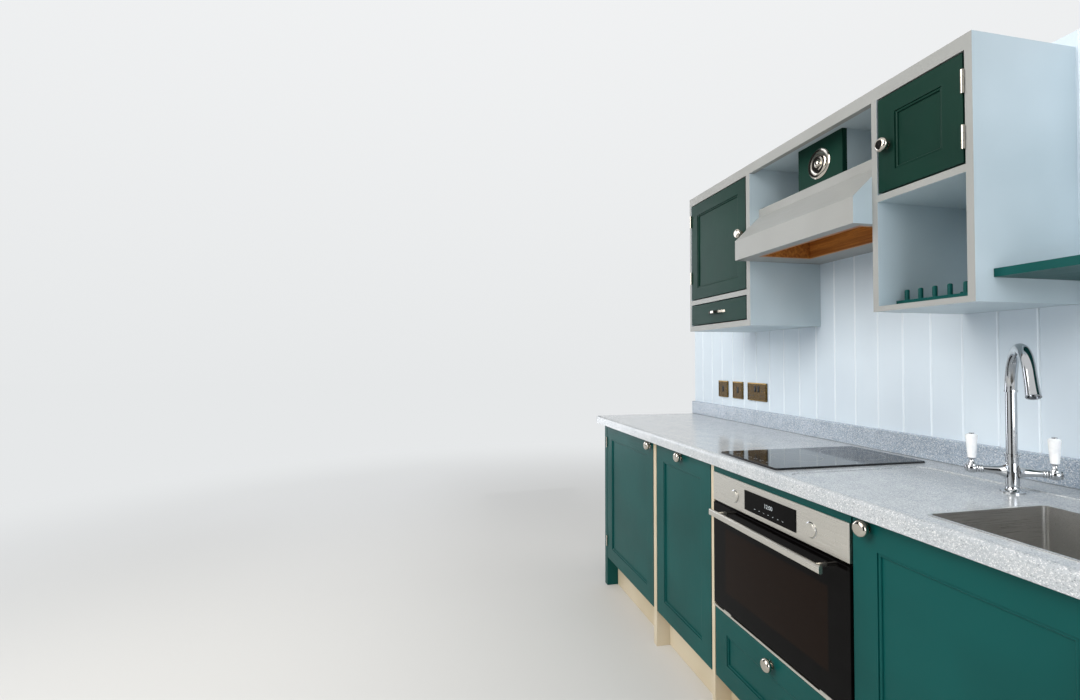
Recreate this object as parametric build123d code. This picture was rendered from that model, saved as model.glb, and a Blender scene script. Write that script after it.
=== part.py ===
from build123d import *
import os
from math import cos, exp, radians, sin

# Fitted kitchen on the side wall of a shepherd's hut, in millimetres.
# X runs along the wall, from the far end to the near end. The room is on the -Y side of the wall.
# Everything is laid out from the wall's boarded face at Y = 0 and the floor at Z = 0, and the
# finished pieces are moved along Y at the end, so that the origin is under the middle of the whole.

# Running clearances
GAP = 5.0
SEAT = 0.3

# Base run along X, from the far end to the near end
FAR_OVERHANG = 77.0
END_PANEL = 36.0
FAR_BAY = 599.0
GABLE_1 = 27.0
PULL_BAY = 447.0
GABLE_2 = 18.0
OVEN_WIDTH = 592.0
SINK_BAY = 508.0
STILE_WIDTH = 46.0
GABLE_3 = 25.0
RUN_LENGTH = (
    FAR_OVERHANG + END_PANEL + FAR_BAY + GABLE_1 + PULL_BAY + GABLE_2
    + GAP + OVEN_WIDTH + SINK_BAY + STILE_WIDTH + END_PANEL
)

X_START = -RUN_LENGTH / 2
X_END = RUN_LENGTH / 2
X_FAR_PANEL = X_START + FAR_OVERHANG
X_FAR_BAY = X_FAR_PANEL + END_PANEL
X_GABLE_1 = X_FAR_BAY + FAR_BAY
X_PULL_BAY = X_GABLE_1 + GABLE_1
X_GABLE_2 = X_PULL_BAY + PULL_BAY
X_OVEN_BAY = X_GABLE_2 + GABLE_2
X_OVEN = X_OVEN_BAY + GAP
X_SINK_BAY = X_OVEN + OVEN_WIDTH
X_STILE = X_SINK_BAY + SINK_BAY
X_NEAR_PANEL = X_STILE + STILE_WIDTH
X_GABLE_3 = X_SINK_BAY - GABLE_3

# Base run in depth and height
FRONT_DEPTH = 592.0
FRONT_THICK = 20.0
BOARD = 18.0
PLINTH_HEIGHT = 148.0
PLINTH_SETBACK = 61.0
PLINTH_THICK = 15.0
BACK_PANEL = 6.0
BACK_VOID = 40.0
CARCASS_TOP = 873.0
TOP_RAIL_DEPTH = 70.0
OVEN_RAIL = 28.0
WORKTOP_OVERHANG = 28.0
WORKTOP_DEPTH = FRONT_DEPTH + WORKTOP_OVERHANG
WORKTOP_THICK = 40.0
WORKTOP_EDGE = 12.0
WORKTOP_CORNER = 20.0
UPSTAND_THICK = 20.0
UPSTAND_HEIGHT = 72.0
UPSTAND_ROUND = 4.0
WORKTOP_TOP = CARCASS_TOP + WORKTOP_THICK
DOOR_FOOT = PLINTH_HEIGHT + GAP
DOOR_TOP = CARCASS_TOP - GAP
FRONT_BACK = FRONT_DEPTH - FRONT_THICK
INNER_FRONT = FRONT_BACK - GAP

# Wall behind the run
WALL_OVER_UNITS = 40.0
LINING_THICK = 15.0
LINING_PITCH = 100.0
LINING_FIRST = 90.5
GROOVE_WIDTH = 8.0
GROOVE_DEPTH = 4.0
BATTEN = 45.0
BATTEN_COUNT = 5

# Panelled fronts
FRAME_WIDTH = 66.0
UPPER_FRAME_WIDTH = 52.0
PANEL_RECESS = 7.0
BEAD_WIDTH = 7.0
BEAD_HEIGHT = 5.0
BEAD_ROUND = 2.8

# Turned knob, as pairs of radius and reach
KNOB_ROSE_RADIUS = 12.0
KNOB_ROSE = 3.0
KNOB_NECK_RADIUS = 6.5
KNOB_NECK = 9.0
KNOB_RADIUS = 19.5
KNOB_REACH = 27.0
KNOB_FACE_RADIUS = 9.0
KNOB_DROP = 20.0
FAR_KNOB_INSET = 36.0
SINK_KNOB_INSET = 45.0

# Butt hinges
HINGE_LENGTH = 57.0
KNUCKLE_RADIUS = 4.0
LEAF_THICK = 2.0
LEAF_DEPTH = 20.0
KNUCKLE_PLAY = 0.4
DOOR_HINGE_INSET = 90.0

# Drawer boxes and their runners
BOX_WALL = 15.0
BOX_FLOOR = 12.0
RUNNER_THICK = 12.7
RUNNER_HEIGHT = 40.0
BOX_BACK_CLEAR = 46.0
BOX_LIFT = 14.0
PULL_BOX_HEIGHT = 240.0
DRAWER_BOX_HEIGHT = 120.0
BOX_FOOT = PLINTH_HEIGHT + BOARD + BOX_LIFT
BOX_LENGTH = FRONT_BACK - BACK_VOID - BACK_PANEL - BOX_BACK_CLEAR

# Oven
OVEN_PROUD = 5.0
OVEN_HEIGHT = 455.0
OVEN_FOOT = CARCASS_TOP - OVEN_RAIL - OVEN_HEIGHT
OVEN_PANEL_HEIGHT = 94.0
OVEN_DOOR_THICK = 20.0
OVEN_GLASS = 6.0
OVEN_GLASS_DROP = 4.0
OVEN_GLASS_BEVEL = 1.0
OVEN_WINDOW_SIDE = 70.0
OVEN_WINDOW_FOOT = 60.0
OVEN_WINDOW_TOP = 75.0
OVEN_WINDOW_SINK = 6.0
OVEN_TRIM_HEIGHT = 7.0
OVEN_BODY_CLEAR = 6.0
OVEN_TOP_VOID = 5.0
CAVITY_SIDE = 45.0
CAVITY_FLOOR = 40.0
CAVITY_HEIGHT = 270.0
CAVITY_BACK = 106.0
HINGE_LUG = 40.0
HINGE_LUG_INSET = 60.0
DISPLAY_WIDTH = 230.0
DISPLAY_HEIGHT = 60.0
DISPLAY_THICK = 1.5
DISPLAY_DROP = 3.0
OVEN_KNOB_RADIUS = 18.5
OVEN_KNOB_LIFT = 0.8
OVEN_KNOB_REACH = 4.2
OVEN_KNOB_ROUND = 1.5
OVEN_KNOB_SHAFT = 4.0
OVEN_KNOB_SHAFT_DEPTH = 8.0
OVEN_KNOB_INSET = 126.0
OVEN_KNOB_DROP = 8.0
HANDLE_HEIGHT = 20.0
HANDLE_DEPTH = 10.0
HANDLE_STAND = 40.0
HANDLE_END = 46.0
HANDLE_POST = 30.0
HANDLE_POST_RADIUS = 5.5
HANDLE_DROP = 24.0
HANDLE_ROUND = 3.0

# Hob
HOB_WIDTH = 288.0
HOB_DEPTH = 520.0
HOB_FROM_OVEN = 37.5
HOB_FROM_EDGE = 27.0
HOB_GLASS = 6.0
HOB_RIM = 12.0
HOB_TRAY = 38.0
HOB_PLAY = 1.0
HOB_CORNER = 8.0
HOB_BEVEL = 2.0

# Sink and drainer
SINK_FROM_PANEL = 36.5
SINK_WIDTH = 350.0
SINK_FROM_EDGE = 61.0
SINK_LENGTH = 304.0
SINK_DEPTH = 187.5
SINK_CORNER = 10.0
SINK_SHEET = 1.5
SINK_RIM = 5.0
SINK_FLOOR_BEND = 8.0
WASTE_RADIUS = 45.0
WASTE_DISH = 8.0
WASTE_BODY = 55.0
WASTE_THREAD_RADIUS = 24.0
DRAINER_DEPTH = 2.5
DRAINER_FROM_EDGE = 30.0
DRAINER_BACK = 125.0
DRAINER_START = -230.5
DRAINER_END_INSET = 45.0
DRAINER_CORNER = 40.0

# Tap, from the drainer's floor up
TAP_FROM_BAY = 59.0
TAP_FROM_WALL = 192.0
TAP_TURN = 45.0
TAP_FOOT_RADIUS = 24.0
TAP_FOOT = 3.5
TAP_FOOT_STEP = 20.5
TAP_STEM_RADIUS = 13.5
TAP_STEM_FOOT = 15.0
TAP_COLLAR_RADIUS = 14.5
TAP_COLLAR = 5.0
TAP_NECK_RADIUS = 12.2
TAP_NECK_FOOT = 70.0
TAP_BODY_HEIGHT = 92.0
TAP_TUBE_RADIUS = 11.0
TAP_ARM_HEIGHT = 50.0
TAP_ARM_REACH = 75.0
TAP_ARM_START = 9.5
TAP_ARM_ROOT = 30.0
TAP_ARM_ROOT_WIDTH = 9.0
TAP_ARM_SWEEP = 6.5
TAP_ARM_TIP = 5.5
TAP_ARM_SECTIONS = 8
TAP_ARM_RING = 7.5
TAP_ARM_RING_LENGTH = 4.0
TAP_HUB_RADIUS = 8.5
TAP_HUB_LENGTH = 24.0
TAP_BEND_RADIUS = 100.0
TAP_BEND_START = 242.0
TAP_BEND_TURN = 150.0
TAP_NECK_TUBE_RADIUS = 11.8
TAP_RING_RADIUS = 13.0
TAP_RING_HEIGHT = 5.0
TAP_MOUTH_LENGTH = 60.0
TAP_MOUTH_RADIUS = 13.2
TAP_MOUTH_WAIST = 12.0
TAP_MOUTH_BORE = 10.0
TAP_MOUTH_BORE_DEPTH = 8.0
TAP_HUB_DOME = 3.0
LEVER_BASE_RADIUS = 7.0
LEVER_BASE_TOP = 10.5
LEVER_NECK_RADIUS = 4.0
LEVER_NECK_WAIST = 17.0
LEVER_COLLAR_RADIUS = 6.5
LEVER_COLLAR = 2.5
LEVER_NECK_TOP = 26.0
LEVER_FOOT_RADIUS = 8.5
LEVER_TOP_RADIUS = 12.4
LEVER_LENGTH = 58.0
LEVER_ROUND = 3.5
LEVER_CAP_RADIUS = 5.5
LEVER_CAP = 3.0

# Wall units along X and in height
UPPER_FROM_END = 539.0
UPPER_FAR_SIDE = 14.0
UPPER_LEFT_BAY = 441.0
UPPER_DIVIDER = 24.0
HOOD_BAY = 579.0
UPPER_SIDE = 18.0
UPPER_RIGHT_BAY = 248.0
UPPER_DEPTH = 320.0
UPPER_CLEAR = 450.0
UPPER_HEIGHT = 637.0
UPPER_RAIL = 37.0
LEFT_FLOOR = 24.0
LEFT_DRAWER_OPENING = 100.0
LEFT_SHELF = 21.0
RIGHT_FLOOR = 15.0
RACK_OPENING = 294.0
RIGHT_SHELF = 19.0
UPPER_START = X_START + UPPER_FROM_END
UPPER_FOOT = WORKTOP_TOP + UPPER_CLEAR
UPPER_TOP = UPPER_FOOT + UPPER_HEIGHT
WALL_HEIGHT = UPPER_TOP + WALL_OVER_UNITS
X_LEFT_BAY = UPPER_START + UPPER_FAR_SIDE
X_DIVIDER_1 = X_LEFT_BAY + UPPER_LEFT_BAY
X_HOOD_BAY = X_DIVIDER_1 + UPPER_DIVIDER
X_DIVIDER_2 = X_HOOD_BAY + HOOD_BAY
X_RIGHT_BAY = X_DIVIDER_2 + UPPER_SIDE
X_UPPER_SIDE = X_RIGHT_BAY + UPPER_RIGHT_BAY
X_UPPER_END = X_UPPER_SIDE + UPPER_SIDE
UPPER_OPENING_TOP = UPPER_TOP - UPPER_RAIL
LEFT_DRAWER_FOOT = UPPER_FOOT + LEFT_FLOOR
LEFT_DOOR_FOOT = LEFT_DRAWER_FOOT + LEFT_DRAWER_OPENING + LEFT_SHELF
RIGHT_DOOR_FOOT = UPPER_FOOT + RIGHT_FLOOR + RACK_OPENING + RIGHT_SHELF
UPPER_HINGE_TOP = 75.0
UPPER_LEFT_HINGE_LOW = 108.0
UPPER_RIGHT_HINGE_LOW = 64.0
UPPER_KNOB_INSET = 27.0
UPPER_LEFT_KNOB_DROP = 221.0
UPPER_RIGHT_KNOB_DROP = 136.0
UPPER_BOX_BACK_CLEAR = 40.0
UPPER_BOX_LENGTH = UPPER_DEPTH - FRONT_THICK - UPPER_BOX_BACK_CLEAR
UPPER_BOX_HEIGHT = 66.0
UPPER_BOX_LIFT = 10.0
UPPER_RUNNER_HEIGHT = 20.0
BOW_LENGTH = 130.0
BOW_REACH = 24.0
BOW_BAR = 10.0
BOW_FOOT = 14.0

# Cooker hood, open shelf and duct casing
HOOD_CLEAR = 702.0
HOOD_HEIGHT = 176.0
HOOD_FOOT = WORKTOP_TOP + HOOD_CLEAR
HOOD_TOP = HOOD_FOOT + HOOD_HEIGHT
HOOD_FASCIA = 76.0
HOOD_DEPTH = 385.0
HOOD_TOP_DEPTH = 279.0
SHELF_THICK = 30.0
RECESS_FAR = 90.0
RECESS_NEAR = 20.0
RECESS_FRONT = 40.0
RECESS_BACK = 120.0
RECESS_HEIGHT = 72.0
HOOD_LINING = 12.0
CASING_START = 186.0
CASING_WIDTH = 205.0
CASING_DEPTH = 246.0
CASING_BOARD = 18.0
CASING_SIDE = 12.0

# Plate rack
RACK_BOARD = 16.0
RACK_SETBACK = 60.0
RACK_BACK = 40.0
RACK_PITCH = 41.0
RACK_PEG_RADIUS = 6.0
RACK_PEG_HEIGHT = 30.0
RACK_PEG_ROUND = 4.0
RACK_PEG_INSET = 14.0
RACK_ROWS = 2

# Side shelf and sockets
SIDE_SHELF_CLEAR = 508.0
SIDE_SHELF_FOOT = WORKTOP_TOP + SIDE_SHELF_CLEAR
SIDE_SHELF_THICK = 20.0
SIDE_SHELF_DEPTH = 266.0
SOCKET_CLEAR = 160.0
SOCKET_HEIGHT = 86.0
SOCKET_THICK = 6.0
SOCKET_PLACES = ((309.0, 86.0), (443.0, 86.0), (602.0, 146.0))
SOCKET_CORNER = 4.0

# The whole reaches from the oven's handle to the back of the battens
OVEN_FACE = FRONT_DEPTH + OVEN_PROUD
HANDLE_CENTRE = OVEN_FACE + HANDLE_STAND
FRONT_REACH = HANDLE_CENTRE + HANDLE_DEPTH / 2
WALL_THICK = LINING_THICK + BATTEN
WALL_FACE_Y = (FRONT_REACH - WALL_THICK) / 2

pieces = {}


def block(x0, x1, y0, y1, z0, z1):
    """A square-edged board or bar between two opposite corners."""
    size = Box(x1 - x0, y1 - y0, z1 - z0)
    return Pos((x0 + x1) / 2, (y0 + y1) / 2, (z0 + z1) / 2) * size


def rounded_block(x0, x1, y0, y1, z0, z1, radius):
    """A block with its four upright edges rounded."""
    outline = RectangleRounded(x1 - x0, y1 - y0, radius)
    return Pos((x0 + x1) / 2, (y0 + y1) / 2, z0) * extrude(outline, z1 - z0)


def group(solids):
    """Like pieces that share a node without touching."""
    return Compound(list(solids))


def turned(points):
    """A solid turned about Z from radius and height pairs that start and end on the axis."""
    face = make_face(Polyline(*[(r, 0, z) for r, z in points], close=True))
    return revolve(face, Axis.Z, 360)


# Wall: tongued and grooved lining on level battens

def wall_lining():
    points = [(X_START, LINING_THICK), (X_START, 0)]
    count = int((RUN_LENGTH - LINING_FIRST - GROOVE_WIDTH) // LINING_PITCH) + 1
    for index in range(count):
        x = X_START + LINING_FIRST + index * LINING_PITCH
        points.append((x - GROOVE_WIDTH / 2, 0))
        points.append((x, GROOVE_DEPTH))
        points.append((x + GROOVE_WIDTH / 2, 0))
    points.append((X_END, 0))
    points.append((X_END, LINING_THICK))
    return extrude(make_face(Polyline(*points, close=True)), WALL_HEIGHT)


def wall_battens():
    step = (WALL_HEIGHT - BATTEN) / (BATTEN_COUNT - 1)
    feet = [index * step for index in range(BATTEN_COUNT)]
    return group(
        block(X_START, X_END, LINING_THICK, WALL_THICK, foot, foot + BATTEN) for foot in feet
    )


pieces["wall_lining"] = wall_lining()
pieces["wall_battens"] = wall_battens()

# Worktop with the drainer, sink and hob cut-outs

SINK_X1 = X_NEAR_PANEL - SINK_FROM_PANEL
SINK_X0 = SINK_X1 - SINK_WIDTH
SINK_Y0 = SINK_FROM_EDGE - WORKTOP_DEPTH
SINK_Y1 = SINK_Y0 + SINK_LENGTH
HOB_X0 = X_OVEN + HOB_FROM_OVEN
HOB_X1 = HOB_X0 + HOB_WIDTH
HOB_Y0 = HOB_FROM_EDGE - WORKTOP_DEPTH
HOB_Y1 = HOB_Y0 + HOB_DEPTH
DRAINER_FLOOR = WORKTOP_TOP - DRAINER_DEPTH


def worktop():
    slab = block(X_START, X_END, -WORKTOP_DEPTH, 0, CARCASS_TOP, WORKTOP_TOP)
    corners = slab.edges().filter_by(Axis.Z).group_by(Axis.Y)[0]
    slab = fillet(corners, WORKTOP_CORNER)
    front = slab.edges().group_by(Axis.Z)[-1].group_by(Axis.Y)[0]
    slab = fillet(front, WORKTOP_EDGE)
    drainer = rounded_block(
        X_SINK_BAY + DRAINER_START, X_END - DRAINER_END_INSET,
        DRAINER_FROM_EDGE - WORKTOP_DEPTH, -DRAINER_BACK,
        DRAINER_FLOOR, WORKTOP_TOP, DRAINER_CORNER,
    )
    edge = SINK_SHEET + SEAT
    sink_hole = rounded_block(
        SINK_X0 - edge, SINK_X1 + edge, SINK_Y0 - edge, SINK_Y1 + edge,
        CARCASS_TOP, WORKTOP_TOP, SINK_CORNER + edge,
    )
    hob_hole = block(
        HOB_X0 + HOB_RIM, HOB_X1 - HOB_RIM, HOB_Y0 + HOB_RIM, HOB_Y1 - HOB_RIM,
        CARCASS_TOP, WORKTOP_TOP,
    )
    return slab - drainer - sink_hole - hob_hole


def upstand():
    strip = block(X_START, X_END, -UPSTAND_THICK, 0, WORKTOP_TOP, WORKTOP_TOP + UPSTAND_HEIGHT)
    top = strip.edges().group_by(Axis.Z)[-1].group_by(Axis.Y)[0]
    return fillet(top, UPSTAND_ROUND)


def hob():
    plate = rounded_block(
        HOB_X0, HOB_X1, HOB_Y0, HOB_Y1, WORKTOP_TOP, WORKTOP_TOP + HOB_GLASS, HOB_CORNER,
    )
    plate = chamfer(plate.edges().group_by(Axis.Z)[-1], HOB_BEVEL)
    inset = HOB_RIM + HOB_PLAY
    tray = block(
        HOB_X0 + inset, HOB_X1 - inset, HOB_Y0 + inset, HOB_Y1 - inset,
        WORKTOP_TOP - HOB_TRAY, WORKTOP_TOP,
    )
    return plate + tray


SINK_FLOOR = DRAINER_FLOOR - SINK_DEPTH
SINK_TOP = DRAINER_FLOOR + SINK_SHEET
SINK_MID_X = (SINK_X0 + SINK_X1) / 2
SINK_MID_Y = (SINK_Y0 + SINK_Y1) / 2


def sink_bowl():
    """A pressed bowl let into the worktop, hanging by a narrow rim on the drainer's floor."""
    outer = rounded_block(
        SINK_X0 - SINK_SHEET, SINK_X1 + SINK_SHEET, SINK_Y0 - SINK_SHEET, SINK_Y1 + SINK_SHEET,
        SINK_FLOOR - SINK_SHEET, SINK_TOP, SINK_CORNER + SINK_SHEET,
    )
    outer = fillet(outer.edges().group_by(Axis.Z)[0], SINK_FLOOR_BEND + SINK_SHEET)
    inner = rounded_block(
        SINK_X0, SINK_X1, SINK_Y0, SINK_Y1, SINK_FLOOR, SINK_TOP, SINK_CORNER,
    )
    inner = fillet(inner.edges().group_by(Axis.Z)[0], SINK_FLOOR_BEND)
    edge = SINK_SHEET + SINK_RIM
    rim = rounded_block(
        SINK_X0 - edge, SINK_X1 + edge, SINK_Y0 - edge, SINK_Y1 + edge,
        DRAINER_FLOOR, SINK_TOP, SINK_CORNER + edge,
    )
    hole = Pos(SINK_MID_X, SINK_MID_Y, SINK_FLOOR) * Cylinder(WASTE_RADIUS, 4 * SINK_SHEET)
    return outer + rim - inner - hole


def sink_waste():
    rim = WASTE_RADIUS + SINK_SHEET * 2
    top = SINK_FLOOR + SINK_SHEET
    dish = WASTE_RADIUS - WASTE_DISH
    foot = SINK_FLOOR - WASTE_BODY
    points = [
        (0, SINK_FLOOR - WASTE_DISH), (dish, SINK_FLOOR - WASTE_DISH), (WASTE_RADIUS, top), (rim, top),
        (rim, SINK_FLOOR), (WASTE_RADIUS - SEAT, SINK_FLOOR),
        (WASTE_RADIUS - SEAT, SINK_FLOOR - 2 * WASTE_DISH),
        (WASTE_THREAD_RADIUS, SINK_FLOOR - 3 * WASTE_DISH), (WASTE_THREAD_RADIUS, foot), (0, foot),
    ]
    return Pos(SINK_MID_X, SINK_MID_Y, 0) * turned(points)


pieces["worktop"] = worktop()
pieces["upstand"] = upstand()
pieces["hob"] = hob()
pieces["sink_bowl"] = sink_bowl()
pieces["sink_waste"] = sink_waste()

# Tap: cross-shaped body, swinging swan neck and two upright levers

TAP_PLACE = Pos(X_SINK_BAY + TAP_FROM_BAY, -TAP_FROM_WALL, DRAINER_FLOOR) * Rot(0, 0, TAP_TURN)


def tap_arm(tip):
    """An arm that sweeps out of the stem like a trumpet, deep and narrow at its root, round at its tip."""
    sections = []
    for index in range(TAP_ARM_SECTIONS):
        reach = (tip - TAP_ARM_START) * (index / (TAP_ARM_SECTIONS - 1)) ** 2
        sweep = exp(-reach / TAP_ARM_SWEEP)
        height = TAP_ARM_TIP + (TAP_ARM_ROOT - TAP_ARM_TIP) * sweep
        width = TAP_ARM_TIP + (TAP_ARM_ROOT_WIDTH - TAP_ARM_TIP) * sweep ** 0.5
        sections.append(Pos(TAP_ARM_START + reach, 0, 0) * (Plane.YZ * Ellipse(width, height)))
    return loft(sections)


def tap_body():
    """A stem on a stepped foot, with an arm to each side and a neck that takes the spout."""
    foot = Polyline(
        (0, 0), (TAP_FOOT_RADIUS, 0), (TAP_FOOT_RADIUS, TAP_FOOT), (TAP_FOOT_STEP, TAP_FOOT),
    )
    sweep = ThreePointArc(
        (TAP_FOOT_STEP, TAP_FOOT),
        (TAP_STEM_RADIUS + (TAP_FOOT_STEP - TAP_STEM_RADIUS) / 4, TAP_FOOT + TAP_STEM_FOOT / 4),
        (TAP_STEM_RADIUS, TAP_FOOT + TAP_STEM_FOOT),
    )
    top = TAP_BODY_HEIGHT - SEAT
    stem = Polyline(
        (TAP_STEM_RADIUS, TAP_FOOT + TAP_STEM_FOOT), (TAP_STEM_RADIUS, TAP_ARM_HEIGHT),
        (TAP_NECK_RADIUS, TAP_NECK_FOOT), (TAP_NECK_RADIUS, top - TAP_COLLAR),
        (TAP_COLLAR_RADIUS, top - TAP_COLLAR), (TAP_COLLAR_RADIUS, top), (0, top), (0, 0),
    )
    body = revolve(Plane.XZ * make_face(foot + sweep + stem), Axis.Z, 360)
    tip = TAP_ARM_REACH - TAP_HUB_LENGTH / 2 - SEAT
    arm = tap_arm(tip)
    ring_middle = tip - TAP_ARM_RING_LENGTH / 2
    arm += Pos(ring_middle, 0, 0) * Rot(0, 90, 0) * Cylinder(TAP_ARM_RING, TAP_ARM_RING_LENGTH)
    for turn in (0, 180):
        body += Pos(0, 0, TAP_ARM_HEIGHT) * Rot(0, 0, turn) * arm
    return TAP_PLACE * body


def tap_spout():
    """A slim stem, a seam ring and a thicker swan neck, ending in a mouth that flares."""
    low = (Align.CENTER, Align.CENTER, Align.MIN)
    straight = TAP_BEND_START - TAP_BODY_HEIGHT
    stem = Pos(0, 0, TAP_BODY_HEIGHT) * Cylinder(TAP_TUBE_RADIUS, straight, align=low)
    ring = Pos(0, 0, TAP_BEND_START) * Cylinder(TAP_RING_RADIUS, TAP_RING_HEIGHT)
    section = Pos(0, 0, TAP_BEND_START) * Circle(TAP_NECK_TUBE_RADIUS)
    axis = Axis((0, -TAP_BEND_RADIUS, TAP_BEND_START), (1, 0, 0))
    bend = revolve(section, axis, TAP_BEND_TURN)
    angle = radians(TAP_BEND_TURN)
    end_y = -TAP_BEND_RADIUS * (1 - cos(angle))
    end_z = TAP_BEND_START + TAP_BEND_RADIUS * sin(angle)
    flare = ThreePointArc(
        (TAP_NECK_TUBE_RADIUS, 0), (TAP_MOUTH_WAIST, TAP_MOUTH_LENGTH / 2),
        (TAP_MOUTH_RADIUS, TAP_MOUTH_LENGTH),
    )
    ends = Polyline(
        (TAP_MOUTH_RADIUS, TAP_MOUTH_LENGTH), (0, TAP_MOUTH_LENGTH), (0, 0), (TAP_NECK_TUBE_RADIUS, 0),
    )
    mouth = revolve(Plane.XZ * make_face(flare + ends), Axis.Z, 360)
    bore_foot = TAP_MOUTH_LENGTH - TAP_MOUTH_BORE_DEPTH
    mouth -= Pos(0, 0, bore_foot) * Cylinder(TAP_MOUTH_BORE, TAP_MOUTH_BORE_DEPTH, align=low)
    mouth = Pos(0, end_y, end_z) * Rot(TAP_BEND_TURN, 0, 0) * mouth
    return TAP_PLACE * (stem + ring + bend + mouth)


def tap_lever(side):
    """A hub on the arm's end with a waisted neck standing on it and a grip wider at the top."""
    hub = Cylinder(TAP_HUB_RADIUS, TAP_HUB_LENGTH)
    hub = chamfer(hub.edges().group_by(Axis.Z)[-1], TAP_HUB_DOME)
    hub = Rot(0, side * 90, 0) * hub
    grip_top = LEVER_NECK_TOP + LEVER_LENGTH
    collar = LEVER_NECK_TOP - LEVER_COLLAR
    base = Polyline((0, 0), (LEVER_BASE_RADIUS, 0), (LEVER_BASE_RADIUS, LEVER_BASE_TOP))
    neck = ThreePointArc(
        (LEVER_BASE_RADIUS, LEVER_BASE_TOP), (LEVER_NECK_RADIUS, LEVER_NECK_WAIST),
        (LEVER_COLLAR_RADIUS, collar),
    )
    grip = Polyline(
        (LEVER_COLLAR_RADIUS, collar), (LEVER_COLLAR_RADIUS, LEVER_NECK_TOP),
        (LEVER_FOOT_RADIUS, LEVER_NECK_TOP), (LEVER_TOP_RADIUS, grip_top - LEVER_ROUND),
        (LEVER_TOP_RADIUS - LEVER_ROUND, grip_top), (LEVER_CAP_RADIUS, grip_top),
        (LEVER_CAP_RADIUS, grip_top + LEVER_CAP), (0, grip_top + LEVER_CAP), (0, 0),
    )
    lever = hub + revolve(Plane.XZ * make_face(base + neck + grip), Axis.Z, 360)
    return TAP_PLACE * Pos(side * TAP_ARM_REACH, 0, TAP_ARM_HEIGHT) * lever


pieces["tap_body"] = tap_body()
pieces["tap_spout"] = tap_spout()
pieces["tap_lever_far"] = tap_lever(-1)
pieces["tap_lever_near"] = tap_lever(1)

# Base carcass

BAYS = (
    (X_FAR_BAY, X_GABLE_1),
    (X_PULL_BAY, X_GABLE_2),
    (X_OVEN_BAY, X_GABLE_3),
    (X_SINK_BAY, X_NEAR_PANEL),
)
OVEN_SHELF_TOP = OVEN_FOOT
PLINTH_FACE = FRONT_DEPTH - PLINTH_SETBACK


def end_panels():
    starts = (X_FAR_PANEL, X_NEAR_PANEL)
    return group(block(x, x + END_PANEL, -FRONT_DEPTH, 0, 0, CARCASS_TOP) for x in starts)


def gables():
    return group((
        block(X_GABLE_1, X_PULL_BAY, -FRONT_DEPTH, 0, 0, CARCASS_TOP),
        block(X_GABLE_2, X_OVEN_BAY, -FRONT_DEPTH, 0, 0, CARCASS_TOP),
        block(X_GABLE_3, X_SINK_BAY, -INNER_FRONT, 0, 0, CARCASS_TOP),
    ))


def plinths():
    back = PLINTH_FACE - PLINTH_THICK
    return group(block(x0, x1, -PLINTH_FACE, -back, 0, PLINTH_HEIGHT) for x0, x1 in BAYS)


def floors():
    top = PLINTH_HEIGHT + BOARD
    return group(block(x0, x1, -INNER_FRONT, -BACK_VOID, PLINTH_HEIGHT, top) for x0, x1 in BAYS)


def back_panels():
    foot = PLINTH_HEIGHT + BOARD
    low = -BACK_VOID - BACK_PANEL
    return group(block(x0, x1, low, -BACK_VOID, foot, CARCASS_TOP) for x0, x1 in BAYS)


def top_rails():
    foot = CARCASS_TOP - BOARD
    back = TOP_RAIL_DEPTH - INNER_FRONT
    doors = (BAYS[0], BAYS[1])
    return group(block(x0, x1, -INNER_FRONT, back, foot, CARCASS_TOP) for x0, x1 in doors)


def face_rails():
    rail = block(
        X_OVEN_BAY, X_SINK_BAY, -FRONT_DEPTH, -FRONT_BACK, CARCASS_TOP - OVEN_RAIL, CARCASS_TOP,
    )
    stile = block(X_STILE, X_NEAR_PANEL, -FRONT_DEPTH, -FRONT_BACK, 0, CARCASS_TOP)
    return group((rail, stile))


pieces["end_panels"] = end_panels()
pieces["gables"] = gables()
pieces["plinths"] = plinths()
pieces["cabinet_floors"] = floors()
pieces["cabinet_backs"] = back_panels()
pieces["top_rails"] = top_rails()
pieces["face_rails"] = face_rails()
pieces["oven_shelf"] = block(
    X_OVEN_BAY, X_GABLE_3, -INNER_FRONT, -BACK_VOID - BACK_PANEL,
    OVEN_SHELF_TOP - BOARD, OVEN_SHELF_TOP,
)

# Panelled fronts, knobs and butt hinges

def panelled(x0, x1, z0, z1, depth, frame):
    """A framed front with a sunk panel and a bead around it."""
    slab = block(x0, x1, -depth, FRONT_THICK - depth, z0, z1)
    face = -depth + PANEL_RECESS
    slab -= block(x0 + frame, x1 - frame, -depth, face, z0 + frame, z1 - frame)
    ring = block(x0 + frame, x1 - frame, face - BEAD_HEIGHT, face, z0 + frame, z1 - frame)
    inner = frame + BEAD_WIDTH
    ring -= block(x0 + inner, x1 - inner, face - BEAD_HEIGHT, face, z0 + inner, z1 - inner)
    ring = fillet(ring.edges().group_by(Axis.Y)[0], BEAD_ROUND)
    return slab + ring


def knob(x, depth, z):
    """A turned knob on a rose, standing out from the face at this depth."""
    low = Polyline(
        (0, 0), (KNOB_ROSE_RADIUS, 0), (KNOB_ROSE_RADIUS, KNOB_ROSE),
        (KNOB_NECK_RADIUS, KNOB_ROSE), (KNOB_NECK_RADIUS, KNOB_NECK),
    )
    middle = (KNOB_NECK + KNOB_REACH) / 2
    crown = ThreePointArc(
        (KNOB_NECK_RADIUS, KNOB_NECK), (KNOB_RADIUS, middle), (KNOB_FACE_RADIUS, KNOB_REACH),
    )
    top = Polyline((KNOB_FACE_RADIUS, KNOB_REACH), (0, KNOB_REACH), (0, 0))
    profile = make_face(low + crown + top)
    solid = revolve(profile, Axis.Y, 360)
    return Pos(x, -depth, z) * Rot(180, 0, 0) * solid


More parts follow.
